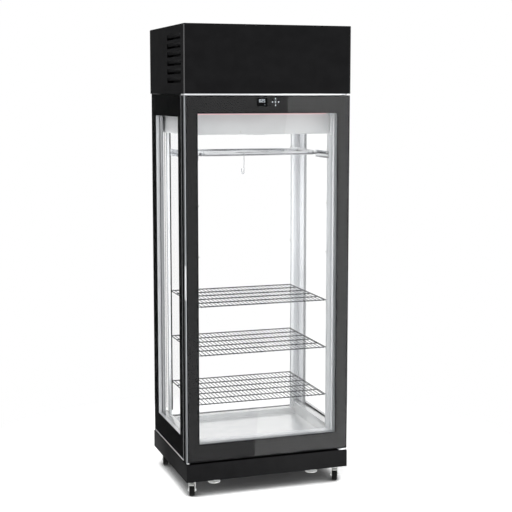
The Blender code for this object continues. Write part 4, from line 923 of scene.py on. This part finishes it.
# The door's window between its borders: left, right, bottom and top
WINDOW_LEFT, WINDOW_RIGHT, WINDOW_LOW_Z, WINDOW_HIGH_Z = -0.3165, 0.3145, 0.2340, 1.6570
SEGMENTS = {
    "0": "abcdef", "1": "bc", "2": "abged", "3": "abgcd", "4": "fgbc", "5": "afgcd",
    "6": "afgedc", "7": "abc", "8": "abcdefg", "9": "abcdfg", "-": "g",
}
# Each bar of a digit: its place in half widths and half heights, and whether it stands upright
BAR_PLACES = {
    "a": (0, 2, False), "b": (1, 1, True), "c": (1, -1, True), "d": (0, -2, False),
    "e": (-1, -1, True), "f": (-1, 1, True), "g": (0, 0, False),
}


def gasket_bellows():
    """Magnetic gasket with the groove of its bellows round the door."""
    gasket = merged_copy("door_gasket", "gasket_bellows")
    inset_faces(gasket, lambda middle, normal: abs(normal.y) < 0.1, [(1.6 * MM, -1.2 * MM)])
    settle(round_edges(gasket, 0.5 * MM), "door", "grey_gasket", nodes=["door_gasket"])


def grip_insert():
    """Bright plate with a sunk middle that covers the edge profile at the grip."""
    low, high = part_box("door_handle")
    plate = block(
        "grip_plate", (low.x - 0.6 * MM, low.y - 0.6 * MM, GRIP_LOW_Z),
        (high.x - 0.4 * MM, high.y - 6 * MM, GRIP_HIGH_Z))
    inset_faces(plate, looking("-x"), [(2 * MM, 0), (1 * MM, -0.4 * MM)])
    settle(round_edges(plate, 0.4 * MM), "door", "bright_aluminium")


def display_middle():
    """Middle of the display window on the face of the door's glass."""
    face_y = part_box("door_outer_pane")[0].y
    return -32 * MM, face_y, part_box("display_module")[1].z - 20 * MM


def display_window():
    """Black window of the display on the glass."""
    x, face_y, z = display_middle()
    half_width, half_height = 23 * MM, 17.5 * MM
    window = block(
        "display_window", (x - half_width, face_y - 0.25 * MM, z - half_height),
        (x + half_width, face_y + 0.5 * MM, z + half_height))
    inset_faces(window, looking("-y"), [(0.8 * MM, -0.05 * MM)])
    settle(window, "door", "display_film", slot="black_border")


def display_digits():
    """Lit bars of the display's figures, their point and the small unit mark below."""
    x, face_y, z = display_middle()
    front = face_y - 0.3 * MM
    length, width, depth, tip = 5.2 * MM, 1.1 * MM, 0.15 * MM, 0.5 * MM
    bar = block(
        "flat_bar", (-length / 2, -depth, -width / 2), (length / 2, depth, width / 2))
    with editing(bar):
        pick_faces(bar, looking("+x", "-x"))
        bpy.ops.mesh.extrude_region_shrink_fatten(TRANSFORM_OT_shrink_fatten={"value": tip})
        bpy.ops.transform.resize(value=(1, 1, 0.3))
    upright = Matrix.Rotation(QUARTER_TURN, 4, "Y")
    point = Matrix.Diagonal((0.3, 1, 1, 1))
    digits_z, pitch = z + 6 * MM, 10 * MM
    across = x - pitch
    places = [shift_of(x + 12 * MM, front, z - 10 * MM) @ point]
    for figure in sizes().display_digits:
        if figure == ".":
            places.append(shift_of(across - pitch / 2, front, digits_z - length) @ point)
            continue
        for name in SEGMENTS[figure]:
            right, up, stands = BAR_PLACES[name]
            move = shift_of(across + right * length / 2, front, digits_z + up * length / 2)
            places.append(move @ upright if stands else move)
        across += pitch
    settle(repeat("display_digits", bar, places), "door", "display_light", slot="black_plastic")


def touch_pad():
    """Four small arrows round a dot and a fine ring, lit through the glass."""
    _, face_y, window_z = display_middle()
    reach, thickness = 13.8 * MM, 0.15 * MM
    pad = shift_of(28.5 * MM, face_y - 0.1 * MM, window_z + 1 * MM)
    lean = Matrix.Rotation(QUARTER_TURN, 4, "X")
    deselect()
    bpy.ops.mesh.primitive_cylinder_add(vertices=3, radius=3.6 * MM, depth=thickness)
    arrow = adopt("pad_arrow")
    inset_faces(arrow, looking("+z", "-z"), [(0.5 * MM, 0)], apart=True)
    turns = [pad @ Matrix.Rotation(index * QUARTER_TURN, 4, "Y") @ shift_of(0, 0, reach) @ lean
             for index in range(4)]
    marks = [repeat("pad_arrows", arrow, turns)]
    for radius, line in ((1.2 * MM, 1.0 * MM), (5.5 * MM, 0.15 * MM)):
        mark = ring("pad_ring", (0, 0, 0), radius, line, sides=28, section=6)
        mark.data.transform(pad @ lean @ Matrix.Diagonal((1, 1, 0.1 * MM / line, 1)))
        marks.append(mark)
    settle(join("touch_pad_marks", marks), "door", "display_light", slot="black_plastic")


def printed_rims():
    """Dull printed lines round the door glass and round its window."""
    low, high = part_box("door_outer_pane")
    width = 4.2 * MM
    for name, left, right, bottom, top in (
            ("glass_rim", low.x + width, high.x - width, low.z + width, high.z - width),
            ("window_rim", WINDOW_LEFT, WINDOW_RIGHT, WINDOW_LOW_Z, WINDOW_HIGH_Z)):
        line = block(
            name, (left, low.y - 0.12 * MM, bottom), (right, low.y + 0.1 * MM, top))
        drop_faces(line, looking("+y", "-y"))
        thicken(line, width, ALONG_NORMALS)
        settle(line, "door", "dull_print", slot="black_border")


class CABINET_OT_door(bpy.types.Operator):
    """Make the door's profiles, gasket, grip, display and touch pad"""

    bl_idname = "cabinet.door"
    bl_label = "Door"

    def execute(self, context):
        refine("door_frame", "black_door_profile", 0.5 * MM)
        refine("door_handle", "grey_aluminium", 0.5 * MM)
        refine("door_rear_trim", "bright_aluminium", 0.5 * MM)
        refine("door_spacer", "grey_aluminium", 0.4 * MM)
        refine("hinge_top", "bright_aluminium", 0.8 * MM)
        refine("hinge_bottom", "bright_aluminium", 0.8 * MM)
        gasket_bellows()
        grip_insert()
        display_window()
        display_digits()
        touch_pad()
        printed_rims()
        return {"FINISHED"}


# Glass body


# Upper edge of the front frame's opening, and the strip light's left and right end
OPENING_TOP_Z, STRIP_LEFT, STRIP_RIGHT = 1.6597, -0.300, 0.290
# Corners between which the spacer bars run round the side glass and the rear glass
SIDE_SPACER = (0.3535, -0.1725, 0.2513), (0.3685, 0.2130, 1.6427)
REAR_SPACER = (-0.3220, 0.2735, 0.2163), (0.3220, 0.2885, 1.6427)
SEALING_TOP_Z = 1.6397
# Left edge of the clear part of the rear pane
REAR_WINDOW_LEFT = -0.3150
SPARE_CLIP_HEIGHTS = (1.038, 1.258)


def strip_light():
    """Rose strip light in a slim profile under the front frame's head."""
    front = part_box("front_frame")[0].y + 1 * MM
    wall, lens_height, carrier_height = 1 * MM, 4.5 * MM, 4 * MM
    end_cap = 2 * wall
    carrier_low = OPENING_TOP_Z - carrier_height
    back = front + 12 * MM
    carrier = block(
        "strip_carrier", (STRIP_LEFT, front, carrier_low),
        (STRIP_RIGHT, back, OPENING_TOP_Z - 0.3 * MM))
    settle(round_edges(carrier, 0.6 * MM), "cabinet", "grey_aluminium")
    lens = block(
        "strip_lens", (STRIP_LEFT + end_cap, front + wall, carrier_low - lens_height),
        (STRIP_RIGHT - end_cap, back - wall, carrier_low))
    settle(round_edges(lens, 2 * MM, 3), "cabinet", "rose_light", slot="clear_glass")


def spacer_bars():
    """Bright spacer bars between the panes, round the windows of the side and rear glass."""
    side = block("spacer_side", *SIDE_SPACER)
    rear = block("spacer_rear", *REAR_SPACER)
    for bar, ways in ((side, ("+x", "-x")), (rear, ("+y", "-y"))):
        drop_faces(bar, looking(*ways))
        thicken(bar, 0.8 * MM, AGAINST_NORMALS)
    bars = join("spacer_bars", [side, copy_at(side, MIRROR_X), rear])
    settle(bars, "cabinet", "bright_aluminium")


def sealing_strips():
    """Grey sealing strips that cover the joint of the side glass and the rear post."""
    post_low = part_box("post_rear_right")[0]
    pane_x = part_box("right_inner_pane")[0].x
    strip = block(
        "sealing_strip", (pane_x - 3 * MM, post_low.y - 25 * MM, post_low.z),
        (pane_x - 0.3 * MM, post_low.y - 1 * MM, SEALING_TOP_Z))
    inset_faces(strip, looking("-x"), [(4 * MM, 1.2 * MM)])
    round_edges(strip, 0.5 * MM)
    settle(join("sealing_strips", [strip, copy_at(strip, MIRROR_X)]), "cabinet",
           "sealing_profile", slot="grey_gasket")


def edge_beads():
    """Black rubber beads along the rear left standard and the rear pane's left edge."""
    low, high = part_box("shelf_standard_rear_left")
    pane_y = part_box("rear_inner_pane")[0].y
    beads = []
    for name, x, y, radius in (
            ("flange_bead", low.x + 13.2 * MM, low.y - 3.0 * MM, 2.8 * MM),
            ("pane_bead", REAR_WINDOW_LEFT, pane_y - 1.2 * MM, 1.0 * MM)):
        start, end = (x, y, low.z + 40 * MM), (x, y, high.z - 2 * MM)
        beads.append(rod(name, start, end, radius, 12))
    settle(join("edge_beads", beads), "cabinet", "black_rubber")


def standard_web(label):
    """Which side a shelf standard stands on, its web's face, and its middle in depth."""
    low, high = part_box("shelf_standard_" + label)
    side = 1 if low.x > 0 else -1
    return side, high.x if side > 0 else low.x, (low.y + high.y) / 2


def punched_standard(label):
    """A shelf standard with a row of punched slots in its web."""
    node = "shelf_standard_" + label
    low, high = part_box(node)
    _, web_x, middle_y = standard_web(label)
    piece = merged_copy(node, node + "_punched")
    through, half_width, half_height = 3 * MM, 2 * MM, 5 * MM
    slot = block(
        "slot", (web_x - through, -half_width, -half_height),
        (web_x + through, half_width, half_height))
    pitch = sizes().slot_pitch
    count = int((high.z - low.z) / pitch) - 1
    rows = [(0, middle_y, low.z + pitch * (index + 1)) for index in range(count)]
    cut(piece, repeat("slots", slot, rows))
    settle(round_edges(piece, 0.3 * MM, 1), "cabinet", "rolled_steel", slot="stainless_steel",
           nodes=[node])


def spare_clips():
    """Unused shelf clips higher up on the standards: a tab with a turned-up lip."""
    width, wall, reach, lip = 10 * MM, 2 * MM, 16 * MM, 5 * MM
    clip = block("clip", (0, -width / 2, 0), (reach, width / 2, wall))
    with editing(clip):
        pick_faces(clip, looking("+x"))
        pull(x=wall)
        pick_faces(clip, lambda middle, normal: normal.z > ALONG and middle.x > reach)
        pull(z=lip)
    round_edges(clip, 0.6 * MM)
    places = []
    for label in CORNERS:
        side, web_x, middle_y = standard_web(label)
        for height in SPARE_CLIP_HEIGHTS:
            place = shift_of(web_x - side * 1.2 * MM, middle_y, height)
            places.append(place @ Matrix.Diagonal((-side, 1, 1, 1)))
    settle(repeat("spare_clips", clip, places), "cabinet", "zinc_plate")


def cover_details():
    """Wire guard under the evaporator's inlet and screws along the cover's lower edge."""
    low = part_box("evaporator_cover")[0]
    fan_low, fan_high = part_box("evaporator_fan")
    middle = (fan_low + fan_high) / 2
    middle.z = low.z - 2.4 * MM
    wire, ring_step, spoke_reach = 1 * MM, 16 * MM, 84 * MM
    wires = [ring("guard", middle, ring_step * (index + 1), wire, section=6) for index in range(5)]
    middle.z += 1.4 * MM
    for index in range(4):
        turn = index * math.pi / 4
        out = Vector((math.cos(turn), math.sin(turn), 0)) * spoke_reach
        wires.append(rod("guard_spoke", middle - out, middle + out, wire, 6))
    settle(join("fan_guard", wires), "cabinet", "chromed_wire")
    places = [((x, low.y, low.z + 12 * MM), (0, -1, 0)) for x in (-0.300, -0.100, 0.100, 0.300)]
    screws("cover_screws", "cabinet", "zinc_plate", places)


class CABINET_OT_body(bpy.types.Operator):
    """Make the glass body's frame, posts, tray, evaporator cover, seals and strip light"""

    bl_idname = "cabinet.body"
    bl_label = "Glass body"

    def execute(self, context):
        refine("front_frame", "bright_aluminium", 0.8 * MM)
        refine("post_rear_left", "bright_aluminium", 0.3 * MM, 1)
        refine("post_rear_right", "bright_aluminium", 0.3 * MM, 1)
        refine("lower_trim", "bright_aluminium", 0.4 * MM)
        refine("floor_panel", "black_powder_coat", 0.5 * MM)
        refine("floor_tray", "satin_tray", 0.9 * MM, 3, slot="stainless_steel")
        refine("evaporator_cover", "grey_steel", 0.5 * MM)
        strip_light()
        spacer_bars()
        sealing_strips()
        cover_details()
        return {"FINISHED"}


# Fittings of the chamber


def wire_shelf(label):
    """A welded wire shelf: thin wires on cross rods, their front ends turned down."""
    node = "shelf_" + label
    low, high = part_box(node)
    thin, thick = sizes().wire_radius, sizes().rod_radius
    left, right = low.x + thick, high.x - thick
    front, back = low.y + thick, high.y - thick
    rod_z, wire_z = high.z - thick - thin, high.z - thin
    members = []
    spans = sizes().cross_rods - 1
    for index in range(spans + 1):
        y = front + (back - front) * index / spans
        members.append(rod("cross_rod", (left, y, rod_z), (right, y, rod_z), thick, 12))
    for x in (left, right):
        members.append(rod("side_rod", (x, front, rod_z), (x, back, rod_z), thick, 12))
    wire = rod("wire", (0, low.y + thick / 2, wire_z), (0, high.y - thick / 2, wire_z), thin, 8)
    with editing(wire):
        pick_faces(wire, looking("-y"))
        pull(y=-thin, z=-thin)
        pull(y=-thin / 2, z=-2 * thin)
    width = right - left - 2 * thick
    count = round(width / sizes().wire_pitch)
    places = [(left + thick + width * (index + 0.5) / count, 0, 0) for index in range(count)]
    members.append(repeat("wires", wire, places))
    # The shelves' chromed wires are drawn in a darker grey: painted shade
    settle(join("wire_shelf_" + label, members), body_of_node(node), "nickel_wire",
           slot="chromed_wire", nodes=[node])


def rail_and_hook():
    """Hanging rail with its bracket bolts, and the hook."""
    rail = merged_copy("hang_rail", "hanging_rail")
    settle(rail, "cabinet", "drawn_tube", slot="chromed_wire", nodes=["hang_rail"])
    low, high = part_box("hang_rail")
    plate, inset_y, inset_z = 3 * MM, 10 * MM, 8 * MM
    screws("rail_bolts", "cabinet", "zinc_plate", [
        ((side * (high.x - plate), y, z), (-side, 0, 0)) for side in (-1, 1)
        for y in (low.y + inset_y, high.y - inset_y) for z in (low.z + inset_z, high.z - inset_z)])
    hook = modify(merged_copy("meat_hook", "round_hook"), "SUBSURF", levels=1)
    settle(hook, "hook", "chromed_wire", nodes=["meat_hook"])


class CABINET_OT_fittings(bpy.types.Operator):
    """Make the shelf standards, clips, beads, wire shelves, hanging rail and hook"""

    bl_idname = "cabinet.fittings"
    bl_label = "Chamber fittings"

    def execute(self, context):
        for label in CORNERS:
            punched_standard(label)
        spare_clips()
        edge_beads()
        for label in ("lower", "middle", "upper"):
            wire_shelf(label)
        rail_and_hook()
        return {"FINISHED"}


# Base and running gear


WHEEL_RADIUS, WHEEL_HALF_WIDTH = 25 * MM, 11 * MM
CASTER_SWIVEL = math.radians(-18.8)
# Steps of a wheel's side from the tread inwards: width and depth of the tyre's wall, the hub's
# sunk face, the bearing boss and the axle's bore
WHEEL_STEPS = (
    (5 * MM, 0), (1 * MM, -2.5 * MM), (8 * MM, 0), (0.8 * MM, 2.8 * MM), (3 * MM, 0),
    (0.3 * MM, -6 * MM),
)


def caster_wheel(label):
    """A rubber wheel with recessed faces and a bearing boss."""
    node = "caster_wheel_" + label
    low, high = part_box(node)
    centre = (low + high) / 2
    wheel = rod(
        "tyre_" + label, (0, 0, -WHEEL_HALF_WIDTH), (0, 0, WHEEL_HALF_WIDTH), WHEEL_RADIUS, 48)
    inset_faces(wheel, looking("+z", "-z"), WHEEL_STEPS, apart=True)
    round_edges(wheel, 1.6 * MM, 3)
    turn = Matrix.Rotation(CASTER_SWIVEL, 4, "Z") @ Matrix.Rotation(QUARTER_TURN, 4, "Y")
    wheel.data.transform(shift_of(centre.x, centre.y, WHEEL_RADIUS) @ turn)
    settle(wheel, body_of_node(node), "black_rubber", nodes=[node])


def gap_shade_sheet():
    """Near-black sheet of painted shade on the plinth in the gap under the door, and the bright foot
    of the edge profile.
    """
    low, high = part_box("base_plinth")
    hinge_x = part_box("hinge_bottom")[0].x
    inset, depth = 4 * MM, 56 * MM
    # The sheet paints the deep shade of the gap under the door
    shade_layer = block(
        "gap_shade_sheet", (low.x + inset, low.y + inset, high.z - 0.1 * MM),
        (hinge_x - 1 * MM, low.y + depth, high.z + 0.7 * MM))
    settle(round_edges(shade_layer, 0.2 * MM), "cabinet", "gap_rubber", slot="black_rubber")
    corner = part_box("door_handle")[0]
    foot = block(
        "profile_foot", (corner.x, corner.y + 0.5 * MM, corner.z - 4 * MM),
        (corner.x + 11 * MM, corner.y + 16 * MM, corner.z - 0.2 * MM))
    settle(round_edges(foot, 0.8 * MM), "door", "bright_aluminium")


class CABINET_OT_base(bpy.types.Operator):
    """Make the plinth, the painted shade in the door's gap, casters, lock levers and levelling feet
    """

    bl_idname = "cabinet.base"
    bl_label = "Base and casters"

    def execute(self, context):
        refine("base_plinth", "base_coat", 0, slot="black_powder_coat")
        gap_shade_sheet()
        for label in CORNERS:
            refine("caster_fork_" + label, "zinc_plate", 0.4 * MM, 1)
            caster_wheel(label)
        for label in ("left", "right"):
            refine("brake_pedal_" + label, "zinc_plate", 0.4 * MM, 1)
            refine("levelling_foot_" + label, "zinc_plate", 0.5 * MM)
        return {"FINISHED"}


# Frame nodes that keep their shape


KEPT_NODES = {
    "door_glass": ["door_outer_pane"],
    "clear_glass": [
        "door_inner_pane", "left_outer_pane", "left_inner_pane",
        "right_outer_pane", "right_inner_pane", "rear_outer_pane", "rear_inner_pane",
    ],
    "black_border": [
        "left_glass_border", "right_glass_border", "rear_glass_border", "display_module",
    ],
    "insulated_core": ["ceiling_panel"],
    "grey_steel": ["base_core", "control_box"],
    "black_powder_coat": ["compressor"],
    "finned_aluminium": ["evaporator_coil"],
    "near_black_fins": ["condenser_coil"],
    "black_plastic": ["condenser_fan", "evaporator_fan"],
}


class CABINET_OT_frame_finishes(bpy.types.Operator):
    """Give the frame nodes that keep their shape their real finishes"""

    bl_idname = "cabinet.frame_finishes"
    bl_label = "Finishes of kept parts"

    def execute(self, context):
        for finish, nodes in KEPT_NODES.items():
            for node in nodes:
                frame["nodes"][node].material_slots[0].material = finish_of(finish)
        return {"FINISHED"}


# Stage


CAMERA_PLACE = (-1.6780, -5.0908, 1.7320)
CAMERA_TURN = (math.radians(90 - 6.969), 0, math.radians(-18.650))
FLOOR_SIZE = 14
# Distances from the cabinet's middle between which the floor fades into white
FADE_START, FADE_END = 0.75, 1.5
# Middle of the two lamps on the chamber's walls, and the power share of the right one
CHAMBER_WALL, CHAMBER_Y, CHAMBER_Z, RIGHT_SHARE = 0.345, 0.02, 0.95, 0.4
# How far the dark reaches under the cabinet and behind it, and the way that the front light comes
CONTACT_REACH, SHADOW_REACH, TO_FRONT_LIGHT = 0.16, 0.26, (0.0, -0.8, 0.6)
# Where the panel stands and how far it is turned so that the door mirrors it
PANEL_X, PANEL_Y, PANEL_Z, PANEL_TURN = 3.25, -5.2, 0.2, math.radians(-5.6)


def openness(tree, distance, **values):
    """How much of the room a point sees within a distance."""
    made = add_node(
        tree, "ShaderNodeAmbientOcclusion",
        {"Color": (1, 1, 1, 1), "Distance": distance, **values}, samples=16)
    return made.outputs["AO"]


def floor_material():
    """A pale floor that keeps the cabinet's shadow near it and runs out into white."""
    material, tree = node_material("pale_floor")
    tree.nodes.remove(tree.nodes["Principled BSDF"])
    path = add_node(tree, "ShaderNodeLightPath").outputs
    place = add_node(tree, "ShaderNodeTexCoord").outputs["Object"]
    reach = add_node(tree, "ShaderNodeVectorMath", None, {0: place}, operation="LENGTH")
    far = map_range(
        tree, reach.outputs["Value"], FADE_START, FADE_END, interpolation_type="SMOOTHSTEP")
    plain = add_node(tree, "ShaderNodeBsdfDiffuse", {"Color": (0.8, 0.8, 0.8, 1)})
    # Under the base the floor lies in the dark that gathers round a contact. Behind the cabinet
    # the light from the front is missing as well, so the dark is drawn out to the rear.
    hidden = openness(tree, CONTACT_REACH)
    deep = map_range(tree, hidden, 0.19, 0.42, 0.22, 0.68)
    edge = map_range(tree, hidden, 0.44, 0.68, 0.0, 1.4)
    below = combine(tree, "ADD", deep, edge)
    from_front = openness(tree, SHADOW_REACH, Normal=TO_FRONT_LIGHT)
    behind = map_range(tree, from_front, 0.25, 0.5, 0.2, 1.75)
    shade = combine(tree, "MINIMUM", below, behind)
    near_look = add_node(tree, "ShaderNodeBsdfDiffuse", None, {"Color": shade})
    white = add_node(tree, "ShaderNodeEmission", {"Strength": 1.0})
    look = mix_shaders(tree, far, near_look.outputs[0], white.outputs[0])
    seen = combine(tree, "MAXIMUM", path["Is Camera Ray"], path["Is Transmission Ray"])
    shown = mix_shaders(tree, seen, plain.outputs[0], look)
    # Mirrors look past the floor at the white room
    clear = add_node(tree, "ShaderNodeBsdfTransparent")
    show_surface(tree, mix_shaders(tree, path["Glossy Depth"], shown, clear.outputs[0]))
    return material


def white_room(strength):
    """World that is white to look at and lights the cabinet evenly at its own level."""
    world = bpy.data.worlds.new("white_room")
    bpy.context.scene.world = world
    world.use_nodes = True
    tree = world.node_tree
    path = add_node(tree, "ShaderNodeLightPath").outputs
    first = combine(tree, "MAXIMUM", path["Is Camera Ray"], path["Is Glossy Ray"])
    seen = combine(tree, "MAXIMUM", first, path["Is Transmission Ray"])
    background = tree.nodes["Background"]
    background.inputs["Color"].default_value = (1, 1, 1, 1)
    tree.links.new(map_range(tree, seen, 0.0, 1.0, strength, 1.0), background.inputs["Strength"])


def area_lamp(name, place, target, width, height, power):
    """A soft lamp aimed at a point; neither the camera nor a mirror shows it."""
    lamp = bpy.data.lights.new(name, "AREA")
    lamp.shape = "RECTANGLE"
    lamp.size = width
    lamp.size_y = height
    lamp.energy = power
    holder = new_object(name, lamp)
    holder.location = place
    holder.rotation_euler = (Vector(target) - Vector(place)).to_track_quat("-Z", "Y").to_euler()
    holder.visible_camera = False
    holder.visible_transmission = False
    holder.visible_glossy = False
    return holder


def mirrored_panel(power):
    """A tall panel at the right that only mirrors show: its image lies over the door's border."""
    panel = area_lamp(
        "panel_lamp", (PANEL_X, PANEL_Y, PANEL_Z), (PANEL_X, 0, PANEL_Z), 3.0, 7.0, power)
    panel.rotation_euler.rotate_axis("Z", PANEL_TURN)
    panel.visible_glossy = True
    panel.visible_diffuse = False


def dark_card():
    """A black card at the rear left that only mirrors see; it keeps the side's black deep."""
    card = block("dark_card", (-1.35, 1.5, -1.2), (-0.54, 1.52, 2.8))
    material, tree = node_material("black_card")
    shader = tree.nodes["Principled BSDF"]
    shader.inputs["Base Color"].default_value = (*linear(0x0A0A0A), 1)
    shader.inputs["Roughness"].default_value = 1.0
    shader.inputs["Specular IOR Level"].default_value = 0.0
    # What is seen straight through the panes passes the card
    path = add_node(tree, "ShaderNodeLightPath").outputs
    mirrored = add_node(
        tree, "ShaderNodeMath", {1: 0.5}, {0: path["Glossy Depth"]}, operation="GREATER_THAN")
    clear = add_node(tree, "ShaderNodeBsdfTransparent")
    show_surface(tree, mix_shaders(
        tree, mirrored.outputs[0], clear.outputs[0], shader.outputs[0]))
    card.data.materials.append(material)
    card.visible_camera = False
    card.visible_diffuse = False
    card.visible_shadow = False


def set_camera(lens):
    """The photograph's viewpoint: front left, just under the housing's height."""
    data = bpy.data.cameras.new("camera")
    camera = new_object("camera", data)
    camera.location = CAMERA_PLACE
    camera.rotation_euler = CAMERA_TURN
    data.lens = lens
    data.sensor_width = 36
    data.shift_y = -0.03
    data.clip_end = 60
    bpy.context.scene.camera = camera


class CABINET_OT_stage(bpy.types.Operator):
    """Set up the floor, the white room, the lamps and the camera"""

    bl_idname = "cabinet.stage"
    bl_label = "Stage"

    def execute(self, context):
        settings = context.scene.cabinet_stage
        context.scene.view_settings.view_transform = "Standard"
        deselect()
        bpy.ops.mesh.primitive_plane_add(size=FLOOR_SIZE)
        floor = adopt("floor")
        floor.data.materials.append(floor_material())
        floor.visible_glossy = False
        white_room(settings.room_light)
        area_lamp("key_lamp", (-1.7, -4.2, 3.8), (0, 0, 1.0), 2.4, 2.4, settings.key_power)
        area_lamp("fill_lamp", (-3.2, -0.8, 0.5), (-0.3, 0, 1.5), 1.4, 1.4, settings.fill_power)
        area_lamp("front_lamp", (0.9, -4.8, 0.7), (0, 0, 0.9), 1.6, 1.6, settings.front_power)
        for wall_x, share in ((CHAMBER_WALL, RIGHT_SHARE), (-CHAMBER_WALL, 1.0)):
            area_lamp(
                "chamber_lamp", (wall_x, CHAMBER_Y, CHAMBER_Z), (-wall_x, CHAMBER_Y, CHAMBER_Z),
                0.34, 1.2, settings.chamber_power * share)
        mirrored_panel(settings.panel_power)
        dark_card()
        set_camera(settings.lens)
        return {"FINISHED"}


class CABINET_PT_panel(bpy.types.Panel):
    """Sidebar panel that lists the cabinet's steps, sizes and colours"""

    bl_label = "Dry Aging Cabinet"
    bl_idname = "CABINET_PT_panel"
    bl_space_type = "VIEW_3D"
    bl_region_type = "UI"
    bl_category = "Cabinet"

    def draw(self, context):
        column = self.layout.column()
        for step in STEPS:
            column.operator(step.bl_idname)
        for group in (context.scene.cabinet_sizes, context.scene.cabinet_colours,
                      context.scene.cabinet_stage):
            for name in group.__annotations__:
                column.prop(group, name)


STEPS = (
    CABINET_OT_stage, CABINET_OT_frame_finishes, CABINET_OT_housing, CABINET_OT_door,
    CABINET_OT_body, CABINET_OT_fittings, CABINET_OT_base,
)
CLASSES = (CabinetSizes, CabinetColours, CabinetStage, *STEPS, CABINET_PT_panel)


def register():
    for made_class in CLASSES:
        bpy.utils.register_class(made_class)
    bpy.types.Scene.cabinet_sizes = PointerProperty(type=CabinetSizes)
    bpy.types.Scene.cabinet_colours = PointerProperty(type=CabinetColours)
    bpy.types.Scene.cabinet_stage = PointerProperty(type=CabinetStage)


def unregister():
    del bpy.types.Scene.cabinet_stage
    del bpy.types.Scene.cabinet_colours
    del bpy.types.Scene.cabinet_sizes
    for made_class in reversed(CLASSES):
        bpy.utils.unregister_class(made_class)


def main():
    register()
    bpy.ops.cabinet.stage()
    bpy.ops.cabinet.frame_finishes()
    bpy.ops.cabinet.housing()
    bpy.ops.cabinet.door()
    bpy.ops.cabinet.body()
    bpy.ops.cabinet.fittings()
    bpy.ops.cabinet.base()


if __name__ == "__main__":
    main()
